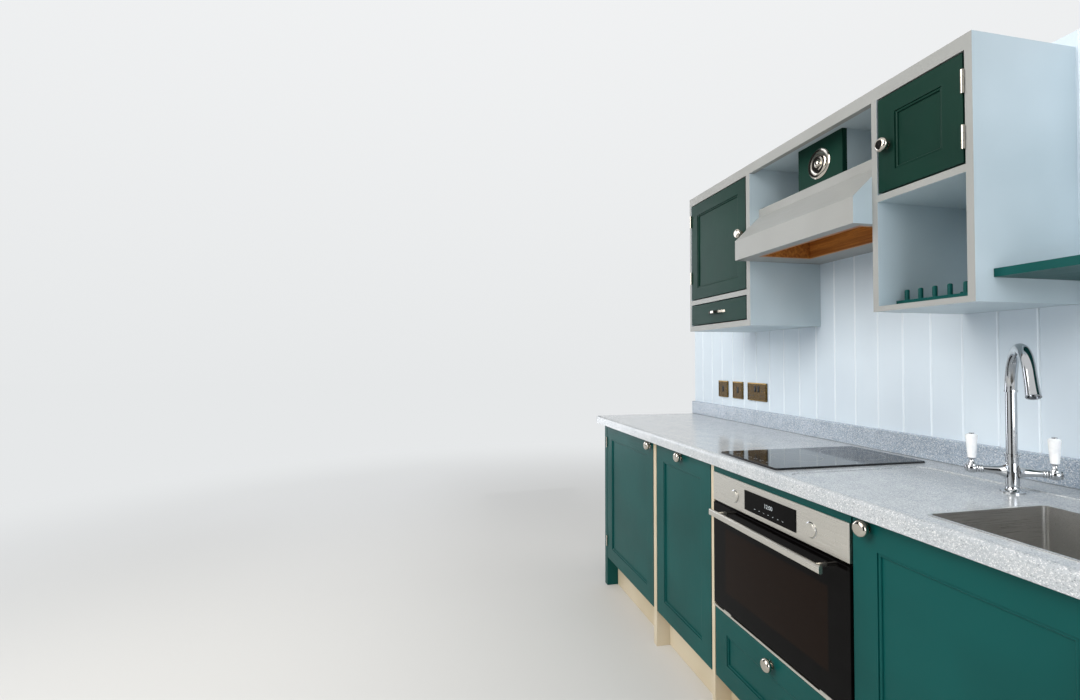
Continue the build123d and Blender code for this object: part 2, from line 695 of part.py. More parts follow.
def knuckle(x, y, z0, z1):
    place = Pos(x, y, (z0 + z1) / 2)
    return place * Cylinder(KNUCKLE_RADIUS, z1 - z0)


def hinge(edge, side, depth, z):
    """Fixed leaf and door leaf of a butt hinge. The door lies on this side of the fixed edge."""
    x = edge + side * GAP / 2
    y = -depth - KNUCKLE_RADIUS
    low = z - HINGE_LENGTH / 2
    high = z + HINGE_LENGTH / 2
    third = HINGE_LENGTH / 3
    clear = y + KNUCKLE_RADIUS + KNUCKLE_PLAY
    back = -depth + LEAF_DEPTH - LEAF_THICK
    fixed_x = sorted((edge, edge + side * LEAF_THICK))
    door_x = sorted((edge + side * GAP, edge + side * (GAP - LEAF_THICK)))
    fixed = knuckle(x, y, low, low + third) + knuckle(x, y, high - third, high)
    fixed += block(*fixed_x, y, back, low, low + third)
    fixed += block(*fixed_x, y, back, high - third, high)
    fixed += block(*fixed_x, clear, back, low, high)
    inner_low = low + third + KNUCKLE_PLAY
    inner_high = high - third - KNUCKLE_PLAY
    moving = knuckle(x, y, inner_low, inner_high)
    moving += block(*door_x, y, back, inner_low, inner_high)
    moving += block(*door_x, clear, back, low, high)
    return fixed, moving


fixed_leaves = []


def hinged_front(name, edge, side, bay, z0, z1, depth, frame, hinge_heights, knob_x, knob_z):
    """A hung front with its knob and the hinge leaves that move with it."""
    x0, x1 = bay
    pieces[name] = panelled(x0 + GAP, x1 - GAP, z0, z1, depth, frame)
    fittings = [knob(knob_x, depth, knob_z)]
    for height in hinge_heights:
        fixed, moving = hinge(edge, side, depth, height)
        fixed_leaves.append(fixed)
        fittings.append(moving)
    pieces[name + "_fittings"] = group(fittings)


base_hinges = (DOOR_FOOT + DOOR_HINGE_INSET, DOOR_TOP - DOOR_HINGE_INSET)
hinged_front(
    "far_door", X_FAR_BAY, 1, (X_FAR_BAY, X_GABLE_1), DOOR_FOOT, DOOR_TOP, FRONT_DEPTH,
    FRAME_WIDTH, base_hinges, X_GABLE_1 - FAR_KNOB_INSET, DOOR_TOP - KNOB_DROP,
)
hinged_front(
    "sink_door", X_STILE, -1, (X_SINK_BAY, X_STILE), DOOR_FOOT, DOOR_TOP, FRONT_DEPTH,
    FRAME_WIDTH, base_hinges, X_SINK_BAY + SINK_KNOB_INSET, DOOR_TOP - KNOB_DROP,
)

# Pull-out and drawers

runners = []


def drawer_box(x0, x1, depth, length, z0, height):
    """An open box behind a front, its floor set between its walls."""
    front = -depth + FRONT_THICK
    shell = block(x0, x1, front, front + length, z0, z0 + height)
    inner = block(
        x0 + BOX_WALL, x1 - BOX_WALL, front + BOX_WALL, front + length - BOX_WALL,
        z0 + BOX_FLOOR, z0 + height,
    )
    return shell - inner


def runner_pair(bay, depth, length, z0, height):
    """Fixed runners on the two sides of a bay."""
    front = -depth + FRONT_THICK + GAP
    for x0, x1 in ((bay[0], bay[0] + RUNNER_THICK), (bay[1] - RUNNER_THICK, bay[1])):
        runners.append(block(x0, x1, front, front + length, z0, z0 + height))


def drawer(name, front_x, bay, z0, z1, depth, frame, box_z, box_height, box_length, runner_height):
    pieces[name + "_front"] = panelled(*front_x, z0, z1, depth, frame)
    inset = RUNNER_THICK + SEAT
    box = drawer_box(bay[0] + inset, bay[1] - inset, depth, box_length, box_z, box_height)
    pieces[name + "_box"] = box
    runner_foot = box_z + (box_height - runner_height) / 2
    runner_pair(bay, depth, box_length - BOX_WALL - GAP, runner_foot, runner_height)


PULL_X = (X_PULL_BAY + GAP, X_GABLE_2 - GAP)
DRAWER_X = (X_OVEN, X_OVEN + OVEN_WIDTH)
DRAWER_TOP = OVEN_FOOT - GAP
drawer(
    "pull_out", PULL_X, BAYS[1], DOOR_FOOT, DOOR_TOP, FRONT_DEPTH, FRAME_WIDTH,
    BOX_FOOT, PULL_BOX_HEIGHT, BOX_LENGTH, RUNNER_HEIGHT,
)
pieces["pull_out_knob"] = knob(sum(PULL_X) / 2, FRONT_DEPTH, DOOR_TOP - KNOB_DROP)
drawer(
    "oven_drawer", DRAWER_X, BAYS[2], DOOR_FOOT, DRAWER_TOP, FRONT_DEPTH, FRAME_WIDTH,
    BOX_FOOT, DRAWER_BOX_HEIGHT, BOX_LENGTH, RUNNER_HEIGHT,
)
pieces["oven_drawer_knob"] = knob(sum(DRAWER_X) / 2, FRONT_DEPTH, DRAWER_TOP - FRAME_WIDTH / 2)

# Oven under the hob

OVEN_TOP = OVEN_FOOT + OVEN_HEIGHT
OVEN_BODY_FRONT = OVEN_FACE - OVEN_DOOR_THICK - GAP
OVEN_BODY_X0 = X_OVEN_BAY + OVEN_BODY_CLEAR
OVEN_BODY_X1 = X_GABLE_3 - OVEN_BODY_CLEAR
OVEN_PANEL_FOOT = OVEN_TOP - OVEN_PANEL_HEIGHT
OVEN_DOOR_FOOT = OVEN_FOOT + OVEN_TRIM_HEIGHT + GAP
OVEN_DOOR_TOP = OVEN_PANEL_FOOT - GAP
OVEN_PANEL_MIDDLE = OVEN_PANEL_FOOT + OVEN_PANEL_HEIGHT / 2
OVEN_KNOB_Z = OVEN_PANEL_MIDDLE - OVEN_KNOB_DROP
DISPLAY_Z = OVEN_PANEL_MIDDLE - DISPLAY_DROP
OVEN_KNOB_PLACES = (X_OVEN + OVEN_KNOB_INSET, X_OVEN + OVEN_WIDTH - OVEN_KNOB_INSET)


def oven_body():
    shell = block(
        OVEN_BODY_X0, OVEN_BODY_X1, -OVEN_BODY_FRONT, -BACK_VOID - BACK_PANEL,
        OVEN_FOOT, OVEN_TOP - OVEN_TOP_VOID,
    )
    cavity = block(
        OVEN_BODY_X0 + CAVITY_SIDE, OVEN_BODY_X1 - CAVITY_SIDE,
        -OVEN_BODY_FRONT, -BACK_VOID - BACK_PANEL - CAVITY_BACK,
        OVEN_FOOT + CAVITY_FLOOR, OVEN_FOOT + CAVITY_FLOOR + CAVITY_HEIGHT,
    )
    return shell - cavity


def oven_control_panel():
    panel = block(
        X_OVEN, X_OVEN + OVEN_WIDTH, -OVEN_FACE, -OVEN_BODY_FRONT, OVEN_PANEL_FOOT, OVEN_TOP,
    )
    for x in OVEN_KNOB_PLACES:
        hole = Cylinder(OVEN_KNOB_SHAFT + SEAT, 2 * (OVEN_KNOB_SHAFT_DEPTH + SEAT))
        panel -= Pos(x, -OVEN_FACE, OVEN_KNOB_Z) * Rot(90, 0, 0) * hole
    return panel


def oven_trim():
    strip = block(
        X_OVEN, X_OVEN + OVEN_WIDTH, -OVEN_FACE, -OVEN_BODY_FRONT,
        OVEN_FOOT, OVEN_FOOT + OVEN_TRIM_HEIGHT,
    )
    lug_top = OVEN_DOOR_FOOT - SEAT
    for x in (X_OVEN + HINGE_LUG_INSET, X_OVEN + OVEN_WIDTH - HINGE_LUG_INSET - HINGE_LUG):
        strip += block(x, x + HINGE_LUG, -OVEN_FACE, -OVEN_BODY_FRONT, OVEN_FOOT, lug_top)
    return strip


def oven_knob(x):
    """A flush round control, pushed in, on a shaft that runs into the panel."""
    low = (Align.CENTER, Align.CENTER, Align.MIN)
    thick = OVEN_KNOB_REACH - OVEN_KNOB_LIFT
    head = Pos(0, 0, OVEN_KNOB_LIFT) * Cylinder(OVEN_KNOB_RADIUS, thick, align=low)
    head = fillet(head.edges().group_by(Axis.Z)[-1], OVEN_KNOB_ROUND)
    shaft_length = OVEN_KNOB_SHAFT_DEPTH + OVEN_KNOB_LIFT
    shaft = Pos(0, 0, -OVEN_KNOB_SHAFT_DEPTH) * Cylinder(OVEN_KNOB_SHAFT, shaft_length, align=low)
    return Pos(x, -OVEN_FACE, OVEN_KNOB_Z) * Rot(90, 0, 0) * (head + shaft)


def oven_door():
    """A flat door with a glass front, a little lower than its frame, and a sunk inner window."""
    x1 = X_OVEN + OVEN_WIDTH
    glass_back = -OVEN_FACE + OVEN_GLASS
    back = -OVEN_FACE + OVEN_DOOR_THICK
    frame = block(X_OVEN, x1, glass_back, back, OVEN_DOOR_FOOT, OVEN_DOOR_TOP)
    glass = block(X_OVEN, x1, -OVEN_FACE, glass_back, OVEN_DOOR_FOOT, OVEN_DOOR_TOP - OVEN_GLASS_DROP)
    glass = chamfer(glass.edges().group_by(Axis.Y)[0], OVEN_GLASS_BEVEL)
    window = block(
        X_OVEN + OVEN_WINDOW_SIDE, x1 - OVEN_WINDOW_SIDE, back - OVEN_WINDOW_SINK, back,
        OVEN_DOOR_FOOT + OVEN_WINDOW_FOOT, OVEN_DOOR_TOP - OVEN_WINDOW_TOP,
    )
    return frame + glass - window


def oven_handle():
    """A flat bar with rounded edges on two round posts."""
    z = OVEN_DOOR_TOP - HANDLE_DROP
    x0 = X_OVEN + HANDLE_END
    x1 = X_OVEN + OVEN_WIDTH - HANDLE_END
    half = HANDLE_HEIGHT / 2
    front = -HANDLE_CENTRE - HANDLE_DEPTH / 2
    bar = block(x0, x1, front, front + HANDLE_DEPTH, z - half, z + half)
    bar = fillet(bar.edges().filter_by(Axis.X), HANDLE_ROUND)
    for x in (x0 + HANDLE_POST, x1 - HANDLE_POST):
        post = Cylinder(HANDLE_POST_RADIUS, HANDLE_STAND)
        bar += Pos(x, -OVEN_FACE - HANDLE_STAND / 2, z) * Rot(90, 0, 0) * post
    return bar


pieces["oven_body"] = oven_body()
pieces["oven_control_panel"] = oven_control_panel()
pieces["oven_display"] = block(
    X_OVEN + (OVEN_WIDTH - DISPLAY_WIDTH) / 2, X_OVEN + (OVEN_WIDTH + DISPLAY_WIDTH) / 2,
    -OVEN_FACE - DISPLAY_THICK, -OVEN_FACE,
    DISPLAY_Z - DISPLAY_HEIGHT / 2, DISPLAY_Z + DISPLAY_HEIGHT / 2,
)
pieces["oven_trim"] = oven_trim()
pieces["oven_door"] = oven_door()
pieces["oven_handle"] = oven_handle()
pieces["oven_knob_far"] = oven_knob(OVEN_KNOB_PLACES[0])
pieces["oven_knob_near"] = oven_knob(OVEN_KNOB_PLACES[1])

# Wall units

def upper_sides():
    top = UPPER_TOP - BOARD
    spans = (
        (UPPER_START, X_LEFT_BAY),
        (X_DIVIDER_1, X_HOOD_BAY),
        (X_DIVIDER_2, X_RIGHT_BAY),
        (X_UPPER_SIDE, X_UPPER_END),
    )
    return group(block(x0, x1, -UPPER_DEPTH, 0, UPPER_FOOT, top) for x0, x1 in spans)


def upper_rails():
    spans = ((X_LEFT_BAY, X_DIVIDER_1), (X_HOOD_BAY, X_DIVIDER_2), (X_RIGHT_BAY, X_UPPER_SIDE))
    return group(
        block(x0, x1, -UPPER_DEPTH, FRONT_THICK - UPPER_DEPTH, UPPER_OPENING_TOP, UPPER_TOP - BOARD)
        for x0, x1 in spans
    )


def upper_shelves():
    left_shelf = LEFT_DRAWER_FOOT + LEFT_DRAWER_OPENING
    right_shelf = UPPER_FOOT + RIGHT_FLOOR + RACK_OPENING
    boards = (
        (X_LEFT_BAY, X_DIVIDER_1, UPPER_FOOT, LEFT_DRAWER_FOOT),
        (X_LEFT_BAY, X_DIVIDER_1, left_shelf, LEFT_DOOR_FOOT),
        (X_RIGHT_BAY, X_UPPER_SIDE, UPPER_FOOT, UPPER_FOOT + RIGHT_FLOOR),
        (X_RIGHT_BAY, X_UPPER_SIDE, right_shelf, RIGHT_DOOR_FOOT),
    )
    return group(block(x0, x1, -UPPER_DEPTH, 0, z0, z1) for x0, x1, z0, z1 in boards)


pieces["upper_sides"] = upper_sides()
pieces["upper_top"] = block(
    UPPER_START, X_UPPER_END, -UPPER_DEPTH, 0, UPPER_TOP - BOARD, UPPER_TOP,
)
pieces["upper_rails"] = upper_rails()
pieces["upper_shelves"] = upper_shelves()

upper_door_top = UPPER_OPENING_TOP - GAP
hinged_front(
    "upper_far_door", X_LEFT_BAY, 1, (X_LEFT_BAY, X_DIVIDER_1),
    LEFT_DOOR_FOOT + GAP, upper_door_top, UPPER_DEPTH, UPPER_FRAME_WIDTH,
    (LEFT_DOOR_FOOT + UPPER_LEFT_HINGE_LOW, UPPER_OPENING_TOP - UPPER_HINGE_TOP),
    X_DIVIDER_1 - GAP - UPPER_KNOB_INSET, upper_door_top - UPPER_LEFT_KNOB_DROP,
)
hinged_front(
    "upper_near_door", X_UPPER_SIDE, -1, (X_RIGHT_BAY, X_UPPER_SIDE),
    RIGHT_DOOR_FOOT + GAP, upper_door_top, UPPER_DEPTH, UPPER_FRAME_WIDTH,
    (RIGHT_DOOR_FOOT + UPPER_RIGHT_HINGE_LOW, UPPER_OPENING_TOP - UPPER_HINGE_TOP),
    X_RIGHT_BAY + GAP + UPPER_KNOB_INSET, upper_door_top - UPPER_RIGHT_KNOB_DROP,
)

UPPER_DRAWER_X = (X_LEFT_BAY + GAP, X_DIVIDER_1 - GAP)
UPPER_DRAWER_Z = (LEFT_DRAWER_FOOT + GAP, LEFT_DRAWER_FOOT + LEFT_DRAWER_OPENING - GAP)


def upper_drawer():
    pieces["upper_drawer_front"] = block(
        *UPPER_DRAWER_X, -UPPER_DEPTH, FRONT_THICK - UPPER_DEPTH, *UPPER_DRAWER_Z,
    )
    inset = RUNNER_THICK + SEAT
    foot = UPPER_DRAWER_Z[0] + UPPER_BOX_LIFT
    pieces["upper_drawer_box"] = drawer_box(
        X_LEFT_BAY + inset, X_DIVIDER_1 - inset, UPPER_DEPTH, UPPER_BOX_LENGTH, foot, UPPER_BOX_HEIGHT,
    )
    runner_foot = foot + (UPPER_BOX_HEIGHT - UPPER_RUNNER_HEIGHT) / 2
    runner_length = UPPER_BOX_LENGTH - BOX_WALL - GAP
    runner_pair((X_LEFT_BAY, X_DIVIDER_1), UPPER_DEPTH, runner_length, runner_foot, UPPER_RUNNER_HEIGHT)


def bow_handle():
    """A bowed bar standing on two feet."""
    half = BOW_LENGTH / 2
    outer = ThreePointArc((-half, 0), (0, BOW_REACH), (half, 0))
    inner = ThreePointArc((half - BOW_FOOT, 0), (0, BOW_REACH - BOW_BAR), (BOW_FOOT - half, 0))
    ends = Line((half, 0), (half - BOW_FOOT, 0)) + Line((BOW_FOOT - half, 0), (-half, 0))
    bar = extrude(make_face(outer + ends + inner), BOW_BAR / 2, both=True)
    x = sum(UPPER_DRAWER_X) / 2
    z = sum(UPPER_DRAWER_Z) / 2
    return Pos(x, -UPPER_DEPTH, z) * Rot(180, 0, 0) * bar


upper_drawer()
pieces["upper_drawer_handle"] = bow_handle()
pieces["hinge_leaves"] = group(fixed_leaves)
pieces["drawer_runners"] = group(runners)

# Cooker hood, the open shelf over it and the duct casing

def hood_canopy():
    profile = Polyline(
        (0, HOOD_FOOT), (0, HOOD_TOP), (-HOOD_TOP_DEPTH, HOOD_TOP),
        (-HOOD_DEPTH, HOOD_FOOT + HOOD_FASCIA), (-HOOD_DEPTH, HOOD_FOOT), close=True,
    )
    wedge = Pos(X_HOOD_BAY, 0, 0) * extrude(Plane.YZ * make_face(profile), HOOD_BAY)
    return wedge - hood_recess(0)


def hood_recess(inset):
    return block(
        X_HOOD_BAY + RECESS_FAR + inset, X_DIVIDER_2 - RECESS_NEAR - inset,
        RECESS_FRONT - HOOD_DEPTH + inset, -RECESS_BACK - inset,
        HOOD_FOOT, HOOD_FOOT + RECESS_HEIGHT - inset,
    )


CASING_X0 = X_HOOD_BAY + CASING_START
CASING_X1 = CASING_X0 + CASING_WIDTH
SHELF_TOP = HOOD_TOP + SHELF_THICK
pieces["hood_canopy"] = hood_canopy()
pieces["hood_lining"] = hood_recess(0) - hood_recess(HOOD_LINING)
pieces["open_shelf"] = block(X_HOOD_BAY, X_DIVIDER_2, -HOOD_TOP_DEPTH, 0, HOOD_TOP, SHELF_TOP)
pieces["duct_casing_front"] = block(
    CASING_X0, CASING_X1, -CASING_DEPTH, CASING_BOARD - CASING_DEPTH, SHELF_TOP, UPPER_TOP - BOARD,
)
pieces["duct_casing_sides"] = group(
    block(x, x + CASING_SIDE, CASING_BOARD - CASING_DEPTH, 0, SHELF_TOP, UPPER_TOP - BOARD)
    for x in (CASING_X0, CASING_X1 - CASING_SIDE)
)

# Plate rack: a board with two rows of round-topped pegs that hold plates on edge

RACK_TOP = UPPER_FOOT + RIGHT_FLOOR + RACK_BOARD
RACK_FRONT = RACK_SETBACK - UPPER_DEPTH


def rack_pegs():
    peg = Pos(0, 0, RACK_PEG_HEIGHT / 2) * Cylinder(RACK_PEG_RADIUS, RACK_PEG_HEIGHT)
    peg = fillet(peg.edges().group_by(Axis.Z)[-1], RACK_PEG_ROUND)
    count = int(UPPER_RIGHT_BAY // RACK_PITCH)
    first = (X_RIGHT_BAY + X_UPPER_SIDE - (count - 1) * RACK_PITCH) / 2
    front_row = RACK_FRONT + RACK_PEG_INSET
    back_row = -RACK_BACK - RACK_PEG_INSET
    step = (back_row - front_row) / (RACK_ROWS - 1)
    return group(
        Pos(first + column * RACK_PITCH, front_row + row * step, RACK_TOP) * peg
        for row in range(RACK_ROWS)
        for column in range(count)
    )


pieces["plate_rack"] = block(
    X_RIGHT_BAY, X_UPPER_SIDE, RACK_FRONT, -RACK_BACK, UPPER_FOOT + RIGHT_FLOOR, RACK_TOP,
)
pieces["plate_rack_pegs"] = rack_pegs()

# Side shelf past the wall units, and the socket plates

pieces["side_shelf"] = block(
    X_UPPER_END, X_END, -SIDE_SHELF_DEPTH, 0, SIDE_SHELF_FOOT, SIDE_SHELF_FOOT + SIDE_SHELF_THICK,
)


def socket_plates():
    plates = []
    z = WORKTOP_TOP + SOCKET_CLEAR
    for from_end, width in SOCKET_PLACES:
        outline = RectangleRounded(width, SOCKET_HEIGHT, SOCKET_CORNER)
        plate = extrude(outline, SOCKET_THICK)
        plates.append(Pos(X_START + from_end, 0, z) * Rot(90, 0, 0) * plate)
    return group(plates)


pieces["socket_plates"] = socket_plates()

# Every piece is moved so that the origin is under the middle of the whole, and written out

os.makedirs("parts", exist_ok=True)
for name, shape in pieces.items():
    export_step(Pos(0, WALL_FACE_Y, 0) * shape, f"parts/{name}.step")
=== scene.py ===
# Looks of the fitted kitchen on the side wall of a shepherd's hut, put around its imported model.
import math

import bpy
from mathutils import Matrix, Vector


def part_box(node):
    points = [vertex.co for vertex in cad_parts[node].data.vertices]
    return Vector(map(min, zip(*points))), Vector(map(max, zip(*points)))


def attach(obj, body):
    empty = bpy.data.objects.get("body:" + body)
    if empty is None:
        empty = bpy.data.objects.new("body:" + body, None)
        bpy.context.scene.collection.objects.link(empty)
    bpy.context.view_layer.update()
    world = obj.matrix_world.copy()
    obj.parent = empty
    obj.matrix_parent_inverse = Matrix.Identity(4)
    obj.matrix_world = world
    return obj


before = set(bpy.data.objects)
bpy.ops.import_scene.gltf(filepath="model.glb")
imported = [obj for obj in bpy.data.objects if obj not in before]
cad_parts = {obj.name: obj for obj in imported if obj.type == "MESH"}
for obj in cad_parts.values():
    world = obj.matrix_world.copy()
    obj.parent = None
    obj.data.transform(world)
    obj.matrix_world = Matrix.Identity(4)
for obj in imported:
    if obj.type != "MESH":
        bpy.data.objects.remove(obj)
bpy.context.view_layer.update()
bpy.ops.object.select_all(action="DESELECT")

# The camera stands at the near end of the run, a little under a metre out from the fronts and
# at chest height, and looks along the wall through a wide lens.
CAMERA_PLACE = Vector((1.6555, -1.274, 1.2266))
CAMERA_TURN = math.radians(12.28)
CAMERA_RISE = math.radians(1.1)
CAMERA_LENS = 17.47
CAMERA_SENSOR = 36.0
CAMERA_NEAR = 0.01

bpy.ops.object.camera_add(location=CAMERA_PLACE)
camera = bpy.context.object
camera.name = "camera"
aim = Vector((-math.cos(CAMERA_TURN), math.sin(CAMERA_TURN), math.tan(CAMERA_RISE)))
camera.rotation_euler = aim.to_track_quat("-Z", "Y").to_euler()
camera.data.lens = CAMERA_LENS
camera.data.sensor_width = CAMERA_SENSOR
camera.data.clip_start = CAMERA_NEAR
bpy.context.scene.camera = camera
bpy.context.scene.view_settings.view_transform = "Standard"

# Studio: a plain pale floor that fades into a pale backdrop, a large soft lamp on the room side,
# a cooler one past the near end and a weak one over the wall's back. Only reflections show the
# cards: dark ones and a white one, as a room has its walls and window.
BACKDROP_LOW = "#E6E8E9"
BACKDROP_HIGH = "#F4F5F6"
BACKDROP_SIDE = "#DCDFE1"
BACKDROP_RISE = (-0.05, 0.8)
SIDE_WAY = (0.82, -0.57, 0.0)
SIDE_SPREAD = (0.45, 0.92)
FILL_COLOUR = "#F1F4F8"
FILL_STRENGTH = 0.62
FLOOR_COLOUR = "#D2D1CE"
FLOOR_SPAN = 60.0
FLOOR_DROP = 0.0005
FLOOR_ROUGHNESS = 0.7
FLOOR_FADE = (1.6, 6.0)
LAMPS = (
    ("room_lamp", (0.3, -3.5, 3.1), (0.0, 0.2, 0.9), 2.8, 128.0, "#FFFCF7"),
    ("near_lamp", (4.4, -0.6, 1.7), (0.5, 0.0, 1.2), 2.0, 60.0, "#F4F8FF"),
    ("back_lamp", (0.0, 3.2, 3.0), (0.0, 0.3, 1.0), 2.0, 40.0, "#FFFFFF"),
)
CARD_BLACK = "#08090A"
CARD_WHITE = "#F3F7FF"
CARD_ROUGHNESS = 0.9
CARDS = (
    ("card_behind_camera", (2.6, -2.6, 1.6), (0.7, 0.1, 1.2), (2.0, 3.4), CARD_BLACK, 0.0),
    ("card_past_far_end", (-3.2, -0.3, 1.2), (0.7, 0.1, 1.2), (0.9, 2.4), CARD_BLACK, 0.0),
    ("card_across_room", (-2.2, -3.0, 2.1), (0.6, 0.1, 1.2), (2.1, 3.6), CARD_BLACK, 0.0),
    ("card_far_window", (-4.0, -2.1, 1.7), (0.0, -0.3, 1.2), (2.4, 2.8), CARD_WHITE, 1.7),
)


def linear(hex_colour):
    """An sRGB hex value as the linear colour that a shader takes."""
    channels = [int(hex_colour[i:i + 2], 16) / 255 for i in (1, 3, 5)]
    return [c / 12.92 if c <= 0.04045 else ((c + 0.055) / 1.055) ** 2.4 for c in channels] + [1.0]


def connect(owner, node, inputs):
    """Gives a node's inputs, by name or in their order, plain values, hex colours, other nodes'
    first outputs, or (node, output) pairs."""
    sockets = [socket for socket in node.inputs if socket.enabled]
    if isinstance(inputs, dict):
        sockets = [next(s for s in sockets if name in (s.identifier, s.name)) for name in inputs]
        inputs = inputs.values()
    for socket, value in zip(sockets, inputs):
        if isinstance(value, str):
            value = linear(value)
        if isinstance(value, bpy.types.Node):
            value = (value, next(s.name for s in value.outputs if s.enabled))
        if isinstance(value, tuple) and isinstance(value[0], bpy.types.Node):
            output = next(s for s in value[0].outputs if s.enabled and s.name == value[1])
            owner.node_tree.links.new(output, socket)
        else:
            socket.default_value = value


def add_node(owner, kind, inputs=(), **settings):
    """A new node of a material or world, with its settings and its inputs."""
    node = owner.node_tree.nodes.new("ShaderNode" + kind)
    for name, value in settings.items():
        setattr(node, name, value)
    connect(owner, node, inputs)
    return node


def seen_directly(owner):
    """1 for what the camera sees straight, in gloss or through glass, and 0 for soft light."""
    ray = add_node(owner, "LightPath")
    kinds = [(ray, "Is Camera Ray"), (ray, "Is Glossy Ray")]
    either = add_node(owner, "Math", kinds, operation="MAXIMUM")
    kinds = [either, (ray, "Is Transmission Ray")]
    return add_node(owner, "Math", kinds, operation="MAXIMUM")


world = bpy.data.worlds.new("pale_studio")
world.use_nodes = True
bpy.context.scene.world = world
way = add_node(world, "TexCoord")
height = add_node(world, "SeparateXYZ", [(way, "Generated")])
rise = add_node(world, "MapRange", [(height, "Z"), *BACKDROP_RISE])
pale = add_node(world, "Mix", [rise, BACKDROP_LOW, BACKDROP_HIGH], data_type="RGBA")
toward = [(way, "Generated"), SIDE_WAY]
sideways = add_node(world, "VectorMath", toward, operation="DOT_PRODUCT")
turned_away = [(sideways, "Value"), *SIDE_SPREAD]
side_share = add_node(world, "MapRange", turned_away, interpolation_type="SMOOTHSTEP")
backdrop = add_node(world, "Mix", [side_share, pale, BACKDROP_SIDE], data_type="RGBA")
shown = add_node(world, "Background", {"Color": backdrop, "Strength": 1.0})
fill = add_node(world, "Background", {"Color": FILL_COLOUR, "Strength": FILL_STRENGTH})
both = add_node(world, "MixShader", [seen_directly(world), fill, shown])
connect(world, world.node_tree.nodes["World Output"], {"Surface": both})

for name, place, target, size, watts, tint in LAMPS:
    bpy.ops.object.light_add(type="AREA", location=place)
    lamp = bpy.context.object
    lamp.name = name
    lamp.rotation_euler = (Vector(target) - Vector(place)).to_track_quat("-Z", "Y").to_euler()
    lamp.data.size = size
    lamp.data.energy = watts
    lamp.data.color = linear(tint)[:3]

for name, place, target, (width, tall), tone, glow in CARDS:
    bpy.ops.mesh.primitive_plane_add(size=1, location=place)
    card = bpy.context.object
    card.name = name
    card_paint = bpy.data.materials.new(name)
    card_paint.use_nodes = True
    connect(card_paint, card_paint.node_tree.nodes["Principled BSDF"], {
        "Base Color": tone, "Roughness": CARD_ROUGHNESS,
        "Emission Color": tone, "Emission Strength": glow,
    })
    card.rotation_euler = (Vector(target) - Vector(place)).to_track_quat("Z", "Y").to_euler()
    card.scale = (width, tall, 1)
    card.visible_camera = False
    card.visible_diffuse = False
    card.visible_shadow = False
    card.data.materials.append(card_paint)

bpy.ops.mesh.primitive_plane_add(size=FLOOR_SPAN, location=(0, 0, -FLOOR_DROP))
floor = bpy.context.object
floor.name = "studio_floor"
floor_paint = bpy.data.materials.new("studio_floor_paint")
floor_paint.use_nodes = True
floor_shader = floor_paint.node_tree.nodes["Principled BSDF"]
connect(floor_paint, floor_shader, {"Base Color": FLOOR_COLOUR, "Roughness": FLOOR_ROUGHNESS})
place = add_node(floor_paint, "TexCoord")
away = add_node(floor_paint, "VectorMath", [(place, "Object")], operation="LENGTH")
spread = [(away, "Value"), *FLOOR_FADE]
fade = add_node(floor_paint, "MapRange", spread, interpolation_type="SMOOTHSTEP")
fade_seen = add_node(floor_paint, "Math", [fade, seen_directly(floor_paint)], operation="MULTIPLY")
far = add_node(floor_paint, "Emission", {"Color": BACKDROP_LOW, "Strength": 1.0})
surface = add_node(floor_paint, "MixShader", [fade_seen, floor_shader, far])
connect(floor_paint, floor_paint.node_tree.nodes["Material Output"], {"Surface": surface})
floor.data.materials.append(floor_paint)

# The hut's side wall: tongued and grooved softwood boards with V joints, brushed with pale
# grey-blue eggshell on the room side and left bare behind, nailed to sawn battens.
LINING_BLUE = "#D8E4ED"
LINING_SHADE = "#D0DCE6"
LINING_ROUGHNESS = 0.42
JOINT_PAINTED_HIGHLIGHT = "#E9F1F7"
EGGSHELL_ROUGHNESS = 0.36
EGGSHELL_SHEEN = 0.3
BRISTLE = 1.5
STROKE = 70.0
STROKE_SMOOTHER = 0.04
STROKE_ROUGHER = 0.07
PATCH = 320.0
BRUSH_DEPTH = 0.00006
PINE_PALE = "#D9B483"
PINE_DARK = "#B98850"
PINE_JOINT = "#6E4E2C"
PLANED_BAND = 14.0
PLANED_ROUGHNESS = 0.65
SAWN_BAND = 11.0
SAWN_ROUGHNESS = 0.75
BOARD_PITCH = 100.0
BOARD_START = -1105.0
BOARD_STEP = 377.0
BOARD_TONES = 0.55
JOINT_HALF = 2.4
JOINT_CORE = 0.4
JOINT_DARKNESS = 0.85
PORE = 0.9
PORE_SHARE = (0.35, 0.5, 0.55, 0.0)
PORE_ROUGHER = 0.06
PORE_SMOOTHER = 0.05
GRAIN_BANDS = (0.36, 0.64)
GRAIN_DRAW = 0.05
GRAIN_DEPTH = 0.00012
MILLIMETRES = 1000.0
NOISE_WIDE = (0.3, 0.7)
NOISE_NARROW = (0.35, 0.65)
ALONG_X, ALONG_Y, ALONG_Z = range(3)


def new_material(name):
    """A new finish: the material, its shader, and Object coordinates in millimetres."""
    material = bpy.data.materials.new(name)
    material.use_nodes = True
    shader = material.node_tree.nodes["Principled BSDF"]
    metres = [(add_node(material, "TexCoord"), "Object"), MILLIMETRES]
    return material, shader, add_node(material, "VectorMath", metres, operation="SCALE")


def drawn_noise(material, millimetres, width, length, way, detail=2.0):
    """Noise of this width, drawn out to this length along one way."""
    scales = [1 / width] * 3
    scales[way] = 1 / length
    drawn = add_node(material, "VectorMath", [millimetres, scales], operation="MULTIPLY")
    return add_node(material, "TexNoise", {"Vector": drawn, "Scale": 1.0, "Detail": detail})


